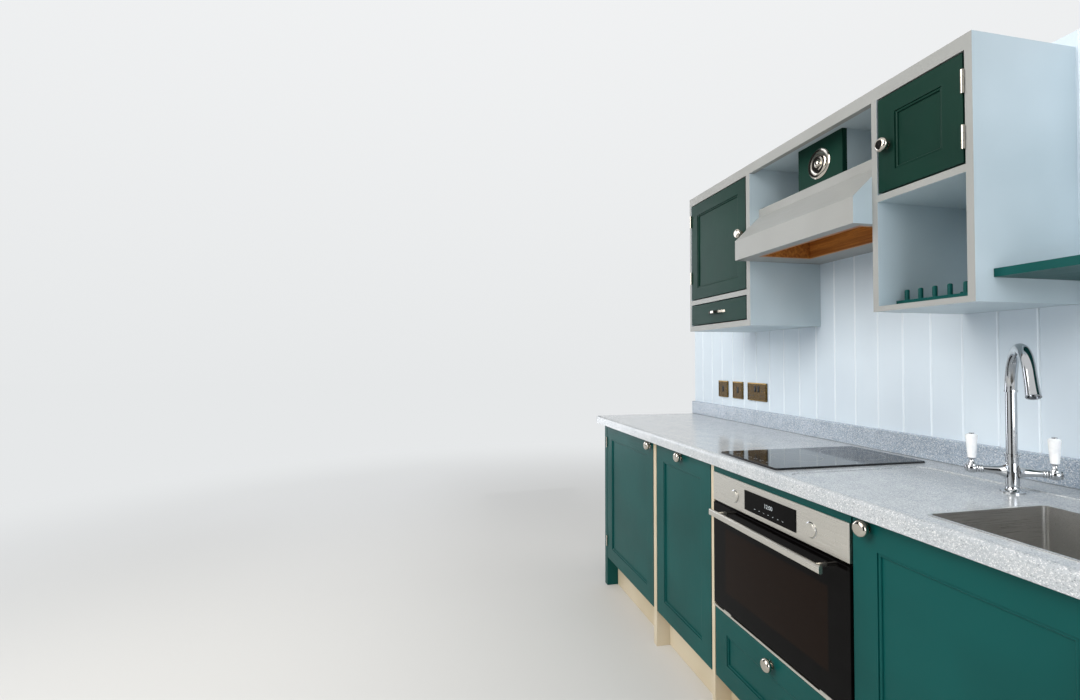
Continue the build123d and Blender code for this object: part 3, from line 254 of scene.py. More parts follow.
def eggshell(name, colour, shade, way, roughness=EGGSHELL_ROUGHNESS, sheen=EGGSHELL_SHEEN):
    """Eggshell paint laid off with a brush: a low sheen, faint bristle lines and soft patches."""
    material, shader, millimetres = new_material(name)
    streaks = drawn_noise(material, millimetres, BRISTLE, STROKE, way)
    paint = colour
    if shade != colour:
        cloudy = {"Vector": millimetres, "Scale": 1 / PATCH, "Detail": 2.0}
        patches = add_node(material, "TexNoise", cloudy)
        tone = add_node(material, "MapRange", [patches, *NOISE_NARROW])
        paint = add_node(material, "Mix", [tone, colour, shade], data_type="RGBA")
    brushed_out = [streaks, *NOISE_WIDE, roughness - STROKE_SMOOTHER, roughness + STROKE_ROUGHER]
    bump = {"Height": streaks, "Strength": 0.5, "Distance": BRUSH_DEPTH}
    connect(material, shader, {
        "Base Color": paint, "Roughness": add_node(material, "MapRange", brushed_out),
        "Specular IOR Level": sheen, "Normal": add_node(material, "Bump", bump),
    })
    return material


def side_by_side(material, millimetres):
    """Upright boards: places that give each its own grain, its own tone, and 1 along the joints,
    which are drawn a little wide so that they show."""
    across = add_node(material, "SeparateXYZ", [millimetres])
    first = [(across, "X"), BOARD_START, BOARD_START + BOARD_PITCH]
    count = add_node(material, "MapRange", first, clamp=False)
    board = add_node(material, "Math", [count], operation="FLOOR")
    step = add_node(material, "Math", [board, BOARD_STEP], operation="MULTIPLY")
    moved = [millimetres, add_node(material, "CombineXYZ", {"Z": step})]
    beside = add_node(material, "Math", [count, 0.5], operation="PINGPONG")
    half = JOINT_HALF / BOARD_PITCH
    joint = add_node(material, "MapRange", [beside, JOINT_CORE * half, half, JOINT_DARKNESS, 0.0])
    chance = add_node(material, "TexWhiteNoise", {"W": board}, noise_dimensions="1D")
    own = add_node(material, "MapRange", [(chance, "Value"), 0.0, 1.0, 0.0, BOARD_TONES])
    return add_node(material, "VectorMath", moved, operation="ADD"), own, joint


def timber(name, pale, dark, way, band, roughness, boarded=False):
    """Planed timber: growth bands of this width and fine pores, both drawn out along the grain."""
    material, shader, millimetres = new_material(name)
    if boarded:
        millimetres, own, joint = side_by_side(material, millimetres)
    bands = drawn_noise(material, millimetres, band, band / GRAIN_DRAW, way, 4.0)
    pores = drawn_noise(material, millimetres, PORE, PORE / GRAIN_DRAW, way)
    tone = add_node(material, "MapRange", [bands, *GRAIN_BANDS])
    pore = add_node(material, "MapRange", [pores, *PORE_SHARE])
    colour = add_node(material, "Mix", [tone, pale, dark], data_type="RGBA")
    colour = add_node(material, "Mix", [pore, colour, dark], data_type="RGBA")
    if boarded:
        colour = add_node(material, "Mix", [own, colour, dark], data_type="RGBA")
        colour = add_node(material, "Mix", [joint, colour, PINE_JOINT], data_type="RGBA")
    open_grain = [pores, *NOISE_WIDE, roughness + PORE_ROUGHER, roughness - PORE_SMOOTHER]
    bump = {"Height": pores, "Strength": 0.6, "Distance": GRAIN_DEPTH}
    connect(material, shader, {
        "Base Color": colour, "Roughness": add_node(material, "MapRange", open_grain),
        "Normal": add_node(material, "Bump", bump),
    })
    return material


def dress(material, *names):
    """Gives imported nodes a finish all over."""
    for name in names:
        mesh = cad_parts[name].data
        mesh.materials.clear()
        mesh.materials.append(material)


def dress_faces(material, name, chosen):
    """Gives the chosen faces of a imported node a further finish."""
    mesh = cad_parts[name].data
    mesh.materials.append(material)
    for face in mesh.polygons:
        if chosen(face.center, face.normal):
            face.material_index = len(mesh.materials) - 1


lining_blues = (LINING_BLUE, LINING_SHADE)
lining_paint = eggshell("eggshell_painted_lining", *lining_blues, ALONG_Z, LINING_ROUGHNESS)
# The V joints' faces that turn toward the near end take a paler copy of the paint: a painted
# highlight where light catches them.
joint_highlight_tones = (JOINT_PAINTED_HIGHLIGHT, JOINT_PAINTED_HIGHLIGHT)
joint_highlight_paint = eggshell("eggshell_with_painted_highlight_in_joints", *joint_highlight_tones, ALONG_Z, LINING_ROUGHNESS)
pine = (PINE_PALE, PINE_DARK)
planed = (PLANED_BAND, PLANED_ROUGHNESS)
lining_back = timber("bare_softwood_lining", *pine, ALONG_Z, *planed, boarded=True)
sawn_batten = timber("sawn_softwood", *pine, ALONG_X, SAWN_BAND, SAWN_ROUGHNESS)
dress(lining_paint, "wall_lining")
dress_faces(joint_highlight_paint, "wall_lining", lambda middle, normal: normal.y < -0.2 < 0.2 < normal.x)
dress_faces(lining_back, "wall_lining", lambda middle, normal: normal.y > 0.5)
dress(sawn_batten, "wall_battens")

# Base run: green end panels, stile and rail, cream gables that reach the floor, cream plinths
# set back under the fronts, and birch board inside. All of it is screwed and glued board.
FRONT_GREEN = "#094E4B"
FRONT_GREEN_SHADE = "#084542"
GREEN_SHEEN = 0.14
CREAM = "#D2C6AE"
CREAM_SHADE = "#C5B699"
CREAM_ROUGHNESS = 0.4
BIRCH_PALE = "#DFC396"
BIRCH_DARK = "#C6A26E"
BIRCH_BAND = 18.0
BIRCH_ROUGHNESS = 0.34

greens = (FRONT_GREEN, FRONT_GREEN_SHADE)
green_upright = eggshell("green_eggshell_laid_upright", *greens, ALONG_Z, sheen=GREEN_SHEEN)
green_level = eggshell("green_eggshell_laid_level", *greens, ALONG_X, sheen=GREEN_SHEEN)
cream_paint = eggshell("cream_eggshell", CREAM, CREAM_SHADE, ALONG_Z, CREAM_ROUGHNESS)
birch = (BIRCH_PALE, BIRCH_DARK)
birch_board = timber("lacquered_birch_board", *birch, ALONG_X, BIRCH_BAND, BIRCH_ROUGHNESS)
dress(green_upright, "end_panels")
dress(green_level, "face_rails")
dress(cream_paint, "gables", "plinths")
dress(birch_board, "cabinet_floors", "cabinet_backs", "top_rails", "oven_shelf")

# Worktop and upstand: engineered stone, a light warm grey full of fine dark and white chips,
# cut, rounded along the front and polished. The upstand's copy has more dark chips and is darker
# and bluer:
# painted shade and cool light for its upright face. A bead of sealant closes the joint to the
# upstand.
STONE_PALE = "#C6C9CB"
STONE_DARK = "#B3B8BC"
STONE_WHITE = "#F0F0EE"
STONE_BLACK = "#6E7276"
STONE_BLACKS = 0.05
UPSTAND_PALE = "#B2BECB"
UPSTAND_DARK = "#9CA9B7"
UPSTAND_BLACK = "#5F6872"
UPSTAND_BLACKS = 0.12
STONE_CLOUD = 60.0
STONE_ROUGHNESS = 0.16
CHIPS = (2.6, 1.3)
CHIP_EDGE = 0.02
GREY_CHIPS = (0.0, 1.0, 0.0, 0.5)
WHITE_CHIPS = (0.9, 0.92, 0.0, 0.65)
BLACK_CHIPS = (0.5, 0.0)
FLECK_SPACE = 8.0
FLECK = 1.3
FLECK_CORE = 0.6
FLECK_WHITENESS = 0.7
SEALANT_GREY = "#7F868B"
SEALANT_SHADE = "#747B80"
SEALANT_ROUGHNESS = 0.3
SEALANT = 0.0022
SEALANT_ROUND = 0.9


def polished_stone(name, pale, dark, black, black_share):
    """Engineered stone: chips of two sizes and scattered white ones, all drawn a little coarse
    so that they show."""
    material, shader, millimetres = new_material(name)
    cloudy = {"Vector": millimetres, "Scale": 1 / STONE_CLOUD, "Detail": 3.0}
    cloud = add_node(material, "TexNoise", cloudy)
    tone = add_node(material, "MapRange", [cloud, *NOISE_NARROW])
    colour = add_node(material, "Mix", [tone, pale, dark], data_type="RGBA")
    blacks = (black_share, black_share + CHIP_EDGE, *BLACK_CHIPS)
    for size in CHIPS:
        chips = add_node(material, "TexVoronoi", {"Vector": millimetres, "Scale": 1 / size})
        chance = add_node(material, "SeparateColor", [(chips, "Color")])
        for drawn, ends, tint in (
            ("Green", GREY_CHIPS, dark), ("Red", blacks, black), ("Red", WHITE_CHIPS, STONE_WHITE),
        ):
            share = add_node(material, "MapRange", [(chance, drawn), *ends])
            colour = add_node(material, "Mix", [share, colour, tint], data_type="RGBA")
    flecks = add_node(material, "TexVoronoi", {"Vector": millimetres, "Scale": 1 / FLECK_SPACE})
    reach = FLECK / FLECK_SPACE
    ends = [(flecks, "Distance"), FLECK_CORE * reach, reach, FLECK_WHITENESS, 0.0]
    share = add_node(material, "MapRange", ends)
    colour = add_node(material, "Mix", [share, colour, STONE_WHITE], data_type="RGBA")
    connect(material, shader, {"Base Color": colour, "Roughness": STONE_ROUGHNESS})
    return material


def settle(piece, name, body, material, angle=35):
    """Names a finished piece, puts its place into its mesh and hangs it on its body."""
    piece.name = name
    piece.data.name = name
    bpy.ops.object.select_all(action="DESELECT")
    piece.select_set(True)
    bpy.context.view_layer.objects.active = piece
    bpy.ops.object.transform_apply(location=True, rotation=True, scale=True)
    bpy.ops.object.shade_smooth_by_angle(angle=math.radians(angle))
    piece.data.materials.clear()
    piece.data.materials.append(material)
    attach(piece, body)
    bpy.ops.object.select_all(action="DESELECT")


def block(low, high):
    """A box between two corners, its size already in its mesh, open in edit mode."""
    middle = [(a + b) / 2 for a, b in zip(low, high)]
    size = [b - a for a, b in zip(low, high)]
    bpy.ops.object.select_all(action="DESELECT")
    bpy.ops.mesh.primitive_cube_add(size=1, location=middle)
    piece = bpy.context.object
    piece.scale = size
    bpy.ops.object.transform_apply(location=False, rotation=False, scale=True)
    bpy.ops.object.mode_set(mode="EDIT")
    return piece


def choose(piece, kind, wanted):
    """Selects the edges or faces whose middle, in the whole's frame, answers to a test."""
    bpy.ops.mesh.select_all(action="DESELECT")
    bpy.ops.mesh.select_mode(type=kind)
    bpy.ops.object.mode_set(mode="OBJECT")
    points = [piece.matrix_world @ v.co for v in piece.data.vertices]
    items = piece.data.edges if kind == "EDGE" else piece.data.polygons
    for item in items:
        corners = [points[i] for i in item.vertices]
        item.select = wanted(sum(corners, Vector()) / len(corners))
    bpy.ops.object.mode_set(mode="EDIT")


stones = (STONE_PALE, STONE_DARK, STONE_BLACK)
worktop_stone = polished_stone("polished_engineered_stone", *stones, STONE_BLACKS)
# The upstand's stone is darker and bluer than the worktop's: painted shade on the upright face.
shaded_upstand_colours = (UPSTAND_PALE, UPSTAND_DARK, UPSTAND_BLACK)
shaded_upstand_finish = polished_stone("polished_stone_in_painted_shade_for_upstand", *shaded_upstand_colours, UPSTAND_BLACKS)
sealant = eggshell("grey_sealant", SEALANT_GREY, SEALANT_SHADE, ALONG_X, SEALANT_ROUGHNESS)
dress(worktop_stone, "worktop")
dress(shaded_upstand_finish, "upstand")

upstand_low, upstand_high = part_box("upstand")
bead = block(
    (upstand_low.x, upstand_low.y - SEALANT, upstand_low.z),
    (upstand_high.x, upstand_low.y, upstand_low.z + SEALANT),
)
half = SEALANT / 2
choose(bead, "EDGE", lambda p: p.y < upstand_low.y - half and p.z > upstand_low.z + half)
bpy.ops.mesh.bevel(offset=SEALANT * SEALANT_ROUND, segments=4)
bpy.ops.object.mode_set(mode="OBJECT")
settle(bead, "upstand_sealant", "carcass", sealant)

# Sink: one bowl pressed from stainless steel and brushed, hung under the cut-out. Its waste
# has a turned rim, and a drilled strainer with a small lifting knob drops into it.
STEEL = "#D3D2CF"
STEEL_ROUGHNESS = 0.3
STREAK = 0.9
STREAK_LENGTH = 120.0
STREAK_DEPTH = 0.00003
STREAK_SMOOTHER = 0.06
STREAK_ROUGHER = 0.08
STRAINER_THICK = 0.0014
STRAINER_PLATE = ((0.0345, 0), (0.0355, 0.0006), (0.0355, STRAINER_THICK))
STRAINER_SEAT = 0.0018
STRAINER_HOLE = 0.0021
STRAINER_RINGS = ((0.012, 8), (0.0195, 14), (0.027, 20))
STRAINER_KNOB = (
    (0.0075, 0), (0.0068, 0.003), (0.0042, 0.005), (0.0046, 0.009), (0.0066, 0.0105),
    (0.0066, 0.0125), (0.005, 0.0138),
)


def brushed(name, colour, way, roughness):
    """Brushed metal: long fine scratches one way, which spread the shine across them."""
    material, shader, millimetres = new_material(name)
    streaks = drawn_noise(material, millimetres, STREAK, STREAK_LENGTH, way, 3.0)
    scratched = [streaks, *NOISE_WIDE, roughness - STREAK_SMOOTHER, roughness + STREAK_ROUGHER]
    bump = {"Height": streaks, "Strength": 0.5, "Distance": STREAK_DEPTH}
    connect(material, shader, {
        "Base Color": colour, "Metallic": 1.0,
        "Roughness": add_node(material, "MapRange", scratched),
        "Normal": add_node(material, "Bump", bump),
    })
    return material


def turned(steps, sides=48):
    """A turned piece standing at the origin: a disc drawn up through (radius, height) steps."""
    radius, height = steps[0]
    bpy.ops.object.select_all(action="DESELECT")
    bpy.ops.mesh.primitive_circle_add(vertices=sides, radius=radius, fill_type="NGON")
    piece = bpy.context.object
    bpy.ops.object.mode_set(mode="EDIT")
    bpy.ops.mesh.select_all(action="SELECT")
    for next_radius, next_height in steps[1:]:
        lift = {"value": (0, 0, next_height - height)}
        bpy.ops.mesh.extrude_region_move(TRANSFORM_OT_translate=lift)
        ratio = next_radius / radius
        bpy.ops.transform.resize(value=(ratio, ratio, 1), center_override=(0, 0, 0))
        radius, height = next_radius, next_height
    bpy.ops.mesh.select_all(action="SELECT")
    bpy.ops.mesh.normals_make_consistent(inside=False)
    bpy.ops.object.mode_set(mode="OBJECT")
    return piece


def joined(pieces):
    """Several pieces made one."""
    bpy.ops.object.select_all(action="DESELECT")
    for piece in pieces:
        piece.select_set(True)
    bpy.context.view_layer.objects.active = pieces[0]
    bpy.ops.object.join()
    return pieces[0]


def cut_away(piece, tool):
    """Takes a tool's shape out of a piece and clears the tool away."""
    bpy.ops.object.select_all(action="DESELECT")
    piece.select_set(True)
    bpy.context.view_layer.objects.active = piece
    cut = piece.modifiers.new("cut", "BOOLEAN")
    cut.operation = "DIFFERENCE"
    cut.object = tool
    bpy.ops.object.modifier_apply(modifier=cut.name)
    bpy.data.objects.remove(tool)


brushed_steel = brushed("brushed_stainless_steel", STEEL, ALONG_Y, STEEL_ROUGHNESS)
dress(brushed_steel, "sink_bowl", "sink_waste")

waste_low, waste_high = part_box("sink_waste")
bowl_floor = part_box("sink_bowl")[0].z
drain = (waste_low + waste_high) / 2
strainer = turned(STRAINER_PLATE)
drills = []
for ring, count in STRAINER_RINGS:
    for i in range(count):
        turn = 2 * math.pi * i / count
        bpy.ops.mesh.primitive_cylinder_add(
            vertices=10, radius=STRAINER_HOLE, depth=4 * STRAINER_THICK,
            location=(ring * math.cos(turn), ring * math.sin(turn), STRAINER_THICK / 2),
        )
        drills.append(bpy.context.object)
cut_away(strainer, joined(drills))
lift_knob = turned(STRAINER_KNOB, 24)
lift_knob.location.z = STRAINER_THICK
strainer = joined([strainer, lift_knob])
strainer.location = (drain.x, drain.y, bowl_floor - STRAINER_SEAT)
settle(strainer, "sink_strainer", "carcass", brushed_steel)

# Hob: a plate of black ceramic glass with a fine ground edge, laid on the stone. Two cooking
# zones and the touch marks at its front are printed under the glaze in grey.
HOB_BLACK = "#0A0B0D"
HOB_PRINT = "#8B9092"
HOB_ROUGHNESS = 0.07
PRINT_ROUGHNESS = 0.3
PRINT_EDGE = 0.6
ZONE_LINE = 0.7
ZONES = ((195.0, 85.0, 92.0), (195.0, -120.0, 74.0))
TOUCH_ROW = -268.0
TOUCH_FIRST = 105.0
TOUCH_PITCH = 30.0
TOUCH_COUNT = 7
TOUCH_RADIUS = 5.0
TOUCH_LINE = 0.3


def ring_mark(material, millimetres, x, y, radius, half_line):
    """1 on a printed ring about a point of the plate, and 0 off it."""
    flat = [millimetres, (1.0, 1.0, 0.0)]
    flat = add_node(material, "VectorMath", flat, operation="MULTIPLY")
    distance = add_node(material, "VectorMath", [flat, (x, y, 0.0)], operation="DISTANCE")
    beside = [(distance, "Value"), radius]
    beside = add_node(material, "Math", beside, operation="SUBTRACT")
    beside = add_node(material, "Math", [beside], operation="ABSOLUTE")
    return add_node(material, "MapRange", [beside, half_line, half_line + PRINT_EDGE, 1.0, 0.0])


hob_glass, hob_shader, hob_millimetres = new_material("black_ceramic_glass")
marks = [ring_mark(hob_glass, hob_millimetres, *zone, ZONE_LINE) for zone in ZONES]
for i in range(TOUCH_COUNT):
    touch = (TOUCH_FIRST + i * TOUCH_PITCH, TOUCH_ROW, TOUCH_RADIUS, TOUCH_LINE)
    marks.append(ring_mark(hob_glass, hob_millimetres, *touch))
printed = marks[0]
for mark in marks[1:]:
    printed = add_node(hob_glass, "Math", [printed, mark], operation="MAXIMUM")
glaze = [printed, 0.0, 1.0, HOB_ROUGHNESS, PRINT_ROUGHNESS]
connect(hob_glass, hob_shader, {
    "Base Color": add_node(hob_glass, "Mix", [printed, HOB_BLACK, HOB_PRINT], data_type="RGBA"),
    "Roughness": add_node(hob_glass, "MapRange", glaze),
})
dress(hob_glass, "hob")

# Tap: brass castings and tube, plated with polished chrome, on a round foot. Turned sleeves and
# rings cover the arms and hubs. The two levers are white glazed china on skirted necks.
CHROME = "#BFC1C3"
CHROME_ROUGHNESS = 0.05
CHINA = "#FBFCFC"
CHINA_SHADE = "#F1F3F4"
CHINA_ROUGHNESS = 0.1
GLAZE = 0.5
GLAZE_ROUGHNESS = 0.04
GRIP_FOOT = 0.9862
GRIP_TOP = 1.0448
SMEAR = 14.0
SMEARED = (0.35, 0.7)
SMEAR_ROUGHER = 0.07
ARM_TURN = math.radians(45)
ARM_REACH = 0.075
ARM_RISE = 0.05
ARM_SLEEVE = (
    (0.0172, 0.012), (0.0152, 0.0145), (0.0134, 0.018), (0.0117, 0.023), (0.0104, 0.029),
    (0.0093, 0.037), (0.0085, 0.046), (0.0081, 0.0535), (0.0092, 0.0538), (0.0103, 0.0548),
    (0.0105, 0.0562), (0.0098, 0.0574), (0.0083, 0.0578), (0.0083, 0.0588), (0.0096, 0.0592),
    (0.0101, 0.0604), (0.0096, 0.0618), (0.0086, 0.0622),
)
HUB_SLEEVE = (
    (0.0084, 0.0631), (0.0101, 0.0636), (0.0104, 0.0652), (0.0098, 0.0664), (0.0092, 0.0669),
    (0.0107, 0.0682), (0.0118, 0.0706), (0.0123, 0.0738), (0.0123, 0.0772), (0.0117, 0.0806),
    (0.0105, 0.0832), (0.0094, 0.0843), (0.0094, 0.0851), (0.0102, 0.0857), (0.0103, 0.0868),
    (0.0093, 0.0882), (0.0068, 0.0893), (0.003, 0.0899),
)
SKIRT = (
    (0.0102, 0.0072), (0.0101, 0.0092), (0.0088, 0.0116), (0.007, 0.0142), (0.0055, 0.0172),
    (0.0048, 0.02), (0.0049, 0.0218), (0.0062, 0.0228), (0.0071, 0.0238), (0.0073, 0.025),
    (0.0068, 0.0257),
)
TURNED_ANGLE = 40


def polished(name, colour, roughness):
    """Polished plate, bright, with faint smears that take the edge off the shine."""
    material, shader, millimetres = new_material(name)
    smeary = {"Vector": millimetres, "Scale": 1 / SMEAR, "Detail": 4.0}
    smears = add_node(material, "TexNoise", smeary)
    handled = [smears, *SMEARED, roughness, roughness + SMEAR_ROUGHER]
    connect(material, shader, {
        "Base Color": colour, "Metallic": 1.0,
        "Roughness": add_node(material, "MapRange", handled),
    })
    return material


chrome = polished("polished_chrome", CHROME, CHROME_ROUGHNESS)
china, china_shader, china_millimetres = new_material("white_glazed_china")
mottled = {"Vector": china_millimetres, "Scale": 1 / SMEAR, "Detail": 2.0}
mottle = add_node(china, "TexNoise", mottled)
tone = add_node(china, "MapRange", [mottle, *NOISE_NARROW])
connect(china, china_shader, {
    "Base Color": add_node(china, "Mix", [tone, CHINA, CHINA_SHADE], data_type="RGBA"),
    "Roughness": CHINA_ROUGHNESS, "Coat Weight": GLAZE, "Coat Roughness": GLAZE_ROUGHNESS,
})
dress(chrome, "tap_body", "tap_spout", "tap_lever_far", "tap_lever_near")
for lever in ("tap_lever_far", "tap_lever_near"):
    dress_faces(china, lever, lambda middle, normal: GRIP_FOOT < middle.z < GRIP_TOP)

body_low, body_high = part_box("tap_body")
tap_middle = (body_low + body_high) / 2
arm_root = Vector((tap_middle.x, tap_middle.y, body_low.z + ARM_RISE))
sleeves = []
for side, lever in ((-1, "tap_lever_far"), (1, "tap_lever_near")):
    outward = Vector((side * math.cos(ARM_TURN), side * math.sin(ARM_TURN), 0))
    turn = outward.to_track_quat("Z", "Y").to_euler()
    hub_middle = arm_root + ARM_REACH * outward
    sleeve = turned([(radius, along - ARM_SLEEVE[0][1]) for radius, along in ARM_SLEEVE])
    sleeve.rotation_euler = turn
    sleeve.location = hub_middle - (ARM_REACH - ARM_SLEEVE[0][1]) * outward
    sleeves.append(sleeve)
    hub = turned([(radius, along - HUB_SLEEVE[0][1]) for radius, along in HUB_SLEEVE])
    hub.rotation_euler = turn
    hub.location = hub_middle - (ARM_REACH - HUB_SLEEVE[0][1]) * outward
    settle(hub, lever + "_hub_sleeve", lever, chrome, TURNED_ANGLE)
    skirt = turned([(radius, up - SKIRT[0][1]) for radius, up in SKIRT])
    skirt.location = hub_middle + Vector((0, 0, SKIRT[0][1]))
    settle(skirt, lever + "_skirt", lever, chrome, TURNED_ANGLE)
settle(joined(sleeves), "tap_arm_sleeves", "carcass", chrome, TURNED_ANGLE)

# Fronts: framed doors and drawer fronts with a small round bead, in the same deep green
# eggshell as the end panels, with turned knobs of polished nickel and pressed butt hinges.
# On the wall units and the duct casing the green is darker: painted shade, for the shade the high
# units stand in.
UPPER_SHADED_GREEN = "#0C3429"
UPPER_SHADED_GREEN_PATCHES = "#0A2D24"
NICKEL = "#C6BFB4"
NICKEL_ROUGHNESS = 0.07
ZINC = "#B7BCC0"
ZINC_ROUGHNESS = 0.36
RAIL_TOP_WIDTH = 0.066

nickel = polished("polished_nickel", NICKEL, NICKEL_ROUGHNESS)
zinc = brushed("zinc_plated_steel", ZINC, ALONG_Y, ZINC_ROUGHNESS)
# A darker copy of the green for the wall units: painted shade.
greens_in_painted_shade = (UPPER_SHADED_GREEN, UPPER_SHADED_GREEN_PATCHES)
shaded_green_upright = eggshell(
    "green_eggshell_in_painted_shade_laid_upright", *greens_in_painted_shade, ALONG_Z, sheen=GREEN_SHEEN,
)
shaded_green_level = eggshell("green_eggshell_in_painted_shade_laid_level", *greens_in_painted_shade, ALONG_X, sheen=GREEN_SHEEN)
base_fronts = ("far_door", "sink_door", "pull_out_front", "oven_drawer_front")
upper_fronts = ("upper_far_door", "upper_near_door")
for fronts, upright, level in (
    (base_fronts, green_upright, green_level), (upper_fronts, shaded_green_upright, shaded_green_level),
):
    dress(upright, *fronts)
    for front in fronts:
        low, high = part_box(front)
        foot = low.z + RAIL_TOP_WIDTH
        top = high.z - RAIL_TOP_WIDTH
        dress_faces(level, front, lambda middle, normal: not foot < middle.z < top)
dress(shaded_green_level, "upper_drawer_front")
dress(nickel, "pull_out_knob", "oven_drawer_knob", "far_door_fittings", "sink_door_fittings")
dress(nickel, "upper_far_door_fittings", "upper_near_door_fittings", "hinge_leaves")
dress(nickel, "upper_drawer_handle")
dress(birch_board, "pull_out_box", "oven_drawer_box", "upper_drawer_box")
dress(zinc, "drawer_runners")

# Oven: a brushed stainless control panel with a black glass display and two flush round
# controls, a black glass door with a flat steel bar, and a cavity of dark blue-grey enamel
# with a wire rack that rests on the rungs of two side ladders.
PANEL_STEEL = "#D6D2C9"
PANEL_ROUGHNESS = 0.3
OVEN_BLACK = "#060505"
OVEN_BLACK_WORN = "#090808"
WINDOW_BROWN = "#160C06"
WINDOW_SIDE = 70.0
WINDOW_FOOT = 60.0
WINDOW_TOP = 75.0
WINDOW_EDGE = 3.0
GLASS_SMEAR = 40.0
GLASS_WORN = (0.4, 0.7)
GLASS_ROUGHNESS = (0.04, 0.09)
GLASS_SHEEN = 0.07
ENAMEL = "#23282F"
ENAMEL_FLECK = "#8E979E"
ENAMEL_CHIP = 1.6
ENAMEL_FLECKS = (0.9, 0.93, 0.0, 0.3)
ENAMEL_ROUGHNESS = 0.22
MARK_WHITE = "#C9D2D6"
MARK_ROUGHNESS = 0.3
CLOCK_HEIGHT = 0.017
KEY_WIDTH = 0.0052
KEY_HEIGHT = 0.0011
KEY_ROUND = 0.3
KEY_PITCH = 0.021
KEY_COUNT = 7
KEY_DROP = 0.017
PRINT_THICK = 0.00015
WELD = 0.000001
BEZEL = ((0.0208, 0), (0.0208, 0.0004), (0.0202, 0.0007))
RACK_WIRE = 0.0035
RACK_HEIGHT = 0.5685
RACK_BARS = 22
RACK_RAILS = 3
LADDER_GAP = 0.007
LADDER_POSTS = 2
LADDER_RUNGS = 4
CAVITY_LOW = (0.0595, -0.262, 0.445)
CAVITY_HIGH = (0.5295, 0.12, 0.685)
QUARTER = math.pi / 2

panel_steel = brushed("brushed_steel_panel", PANEL_STEEL, ALONG_X, PANEL_ROUGHNESS)
oven_glass, oven_shader, oven_millimetres = new_material("black_oven_glass")
smeary = {"Vector": oven_millimetres, "Scale": 1 / GLASS_SMEAR, "Detail": 3.0}
smears = add_node(oven_glass, "TexNoise", smeary)
worn = add_node(oven_glass, "MapRange", [smears, *GLASS_WORN])
black = add_node(oven_glass, "Mix", [worn, OVEN_BLACK, OVEN_BLACK_WORN], data_type="RGBA")
door_low, door_high = [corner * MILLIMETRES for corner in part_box("oven_door")]
window_low = Vector((door_low.x + WINDOW_SIDE, 0.0, door_low.z + WINDOW_FOOT))
window_high = Vector((door_high.x - WINDOW_SIDE, 0.0, door_high.z - WINDOW_TOP))
beside = [oven_millimetres, (window_low + window_high) / 2]
beside = add_node(oven_glass, "VectorMath", beside, operation="SUBTRACT")
beside = add_node(oven_glass, "VectorMath", [beside], operation="ABSOLUTE")
past_edge = [beside, (window_high - window_low) / 2]
past_edge = add_node(oven_glass, "VectorMath", past_edge, operation="SUBTRACT")
past_edge = add_node(oven_glass, "SeparateXYZ", [past_edge])
sides = [(past_edge, "X"), (past_edge, "Z")]
outside = add_node(oven_glass, "Math", sides, operation="MAXIMUM")
window = add_node(oven_glass, "MapRange", [outside, -WINDOW_EDGE, WINDOW_EDGE, 1.0, 0.0])
wiped = [smears, *SMEARED, *GLASS_ROUGHNESS]
connect(oven_glass, oven_shader, {
    "Base Color": add_node(oven_glass, "Mix", [window, black, WINDOW_BROWN], data_type="RGBA"),
    "Roughness": add_node(oven_glass, "MapRange", wiped), "Specular IOR Level": GLASS_SHEEN,
})
enamel, enamel_shader, enamel_millimetres = new_material("dark_vitreous_enamel")
speckled = {"Vector": enamel_millimetres, "Scale": 1 / ENAMEL_CHIP}
flecks = add_node(enamel, "TexVoronoi", speckled)
chance = add_node(enamel, "SeparateColor", [(flecks, "Color")])
share = add_node(enamel, "MapRange", [(chance, "Red"), *ENAMEL_FLECKS])
connect(enamel, enamel_shader, {
    "Base Color": add_node(enamel, "Mix", [share, ENAMEL, ENAMEL_FLECK], data_type="RGBA"),
    "Roughness": ENAMEL_ROUGHNESS,
})
dress(panel_steel, "oven_control_panel", "oven_knob_far", "oven_knob_near", "oven_handle")
dress(panel_steel, "oven_trim")
dress(oven_glass, "oven_door", "oven_display")
dress(enamel, "oven_body")

panel_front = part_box("oven_control_panel")[0].y
for knob in ("oven_knob_far", "oven_knob_near"):
    low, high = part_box(knob)
    bezel = turned(BEZEL)
    bezel.rotation_euler.x = QUARTER
    bezel.location = ((low.x + high.x) / 2, panel_front, (low.z + high.z) / 2)
    settle(bezel, knob + "_bezel", "carcass", chrome)

clock_print = eggshell("printed_clock_marks", MARK_WHITE, MARK_WHITE, ALONG_X, MARK_ROUGHNESS)
display_low, display_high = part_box("oven_display")
display_middle = (display_low + display_high) / 2
bpy.ops.object.text_add()
clock = bpy.context.object
clock.data.body = "12:00"
clock.data.size = CLOCK_HEIGHT
clock.data.align_x = "CENTER"
clock.data.extrude = PRINT_THICK / 2
bpy.ops.object.convert(target="MESH")
clock.rotation_euler.x = QUARTER
clock.location = (display_middle.x, display_low.y - PRINT_THICK / 2, display_middle.z)
bpy.ops.object.mode_set(mode="EDIT")
bpy.ops.mesh.select_all(action="SELECT")
bpy.ops.mesh.remove_doubles(threshold=WELD)
bpy.ops.object.mode_set(mode="OBJECT")
settle(clock, "oven_clock_digits", "carcass", clock_print)
keys = []
for i in range(KEY_COUNT):
    middle = display_middle.x + (i - (KEY_COUNT - 1) / 2) * KEY_PITCH
    foot = display_middle.z - KEY_DROP
    key = block(
        (middle - KEY_WIDTH / 2, display_low.y - PRINT_THICK, foot),
        (middle + KEY_WIDTH / 2, display_low.y, foot + KEY_HEIGHT),
    )
    key_middle = display_low.y - PRINT_THICK / 2
    choose(key, "EDGE", lambda p: abs(p.y - key_middle) < PRINT_THICK / 4)
    bpy.ops.mesh.bevel(offset=KEY_HEIGHT * KEY_ROUND, segments=2)
    bpy.ops.object.mode_set(mode="OBJECT")
    keys.append(key)
settle(joined(keys), "oven_display_keys", "carcass", clock_print)


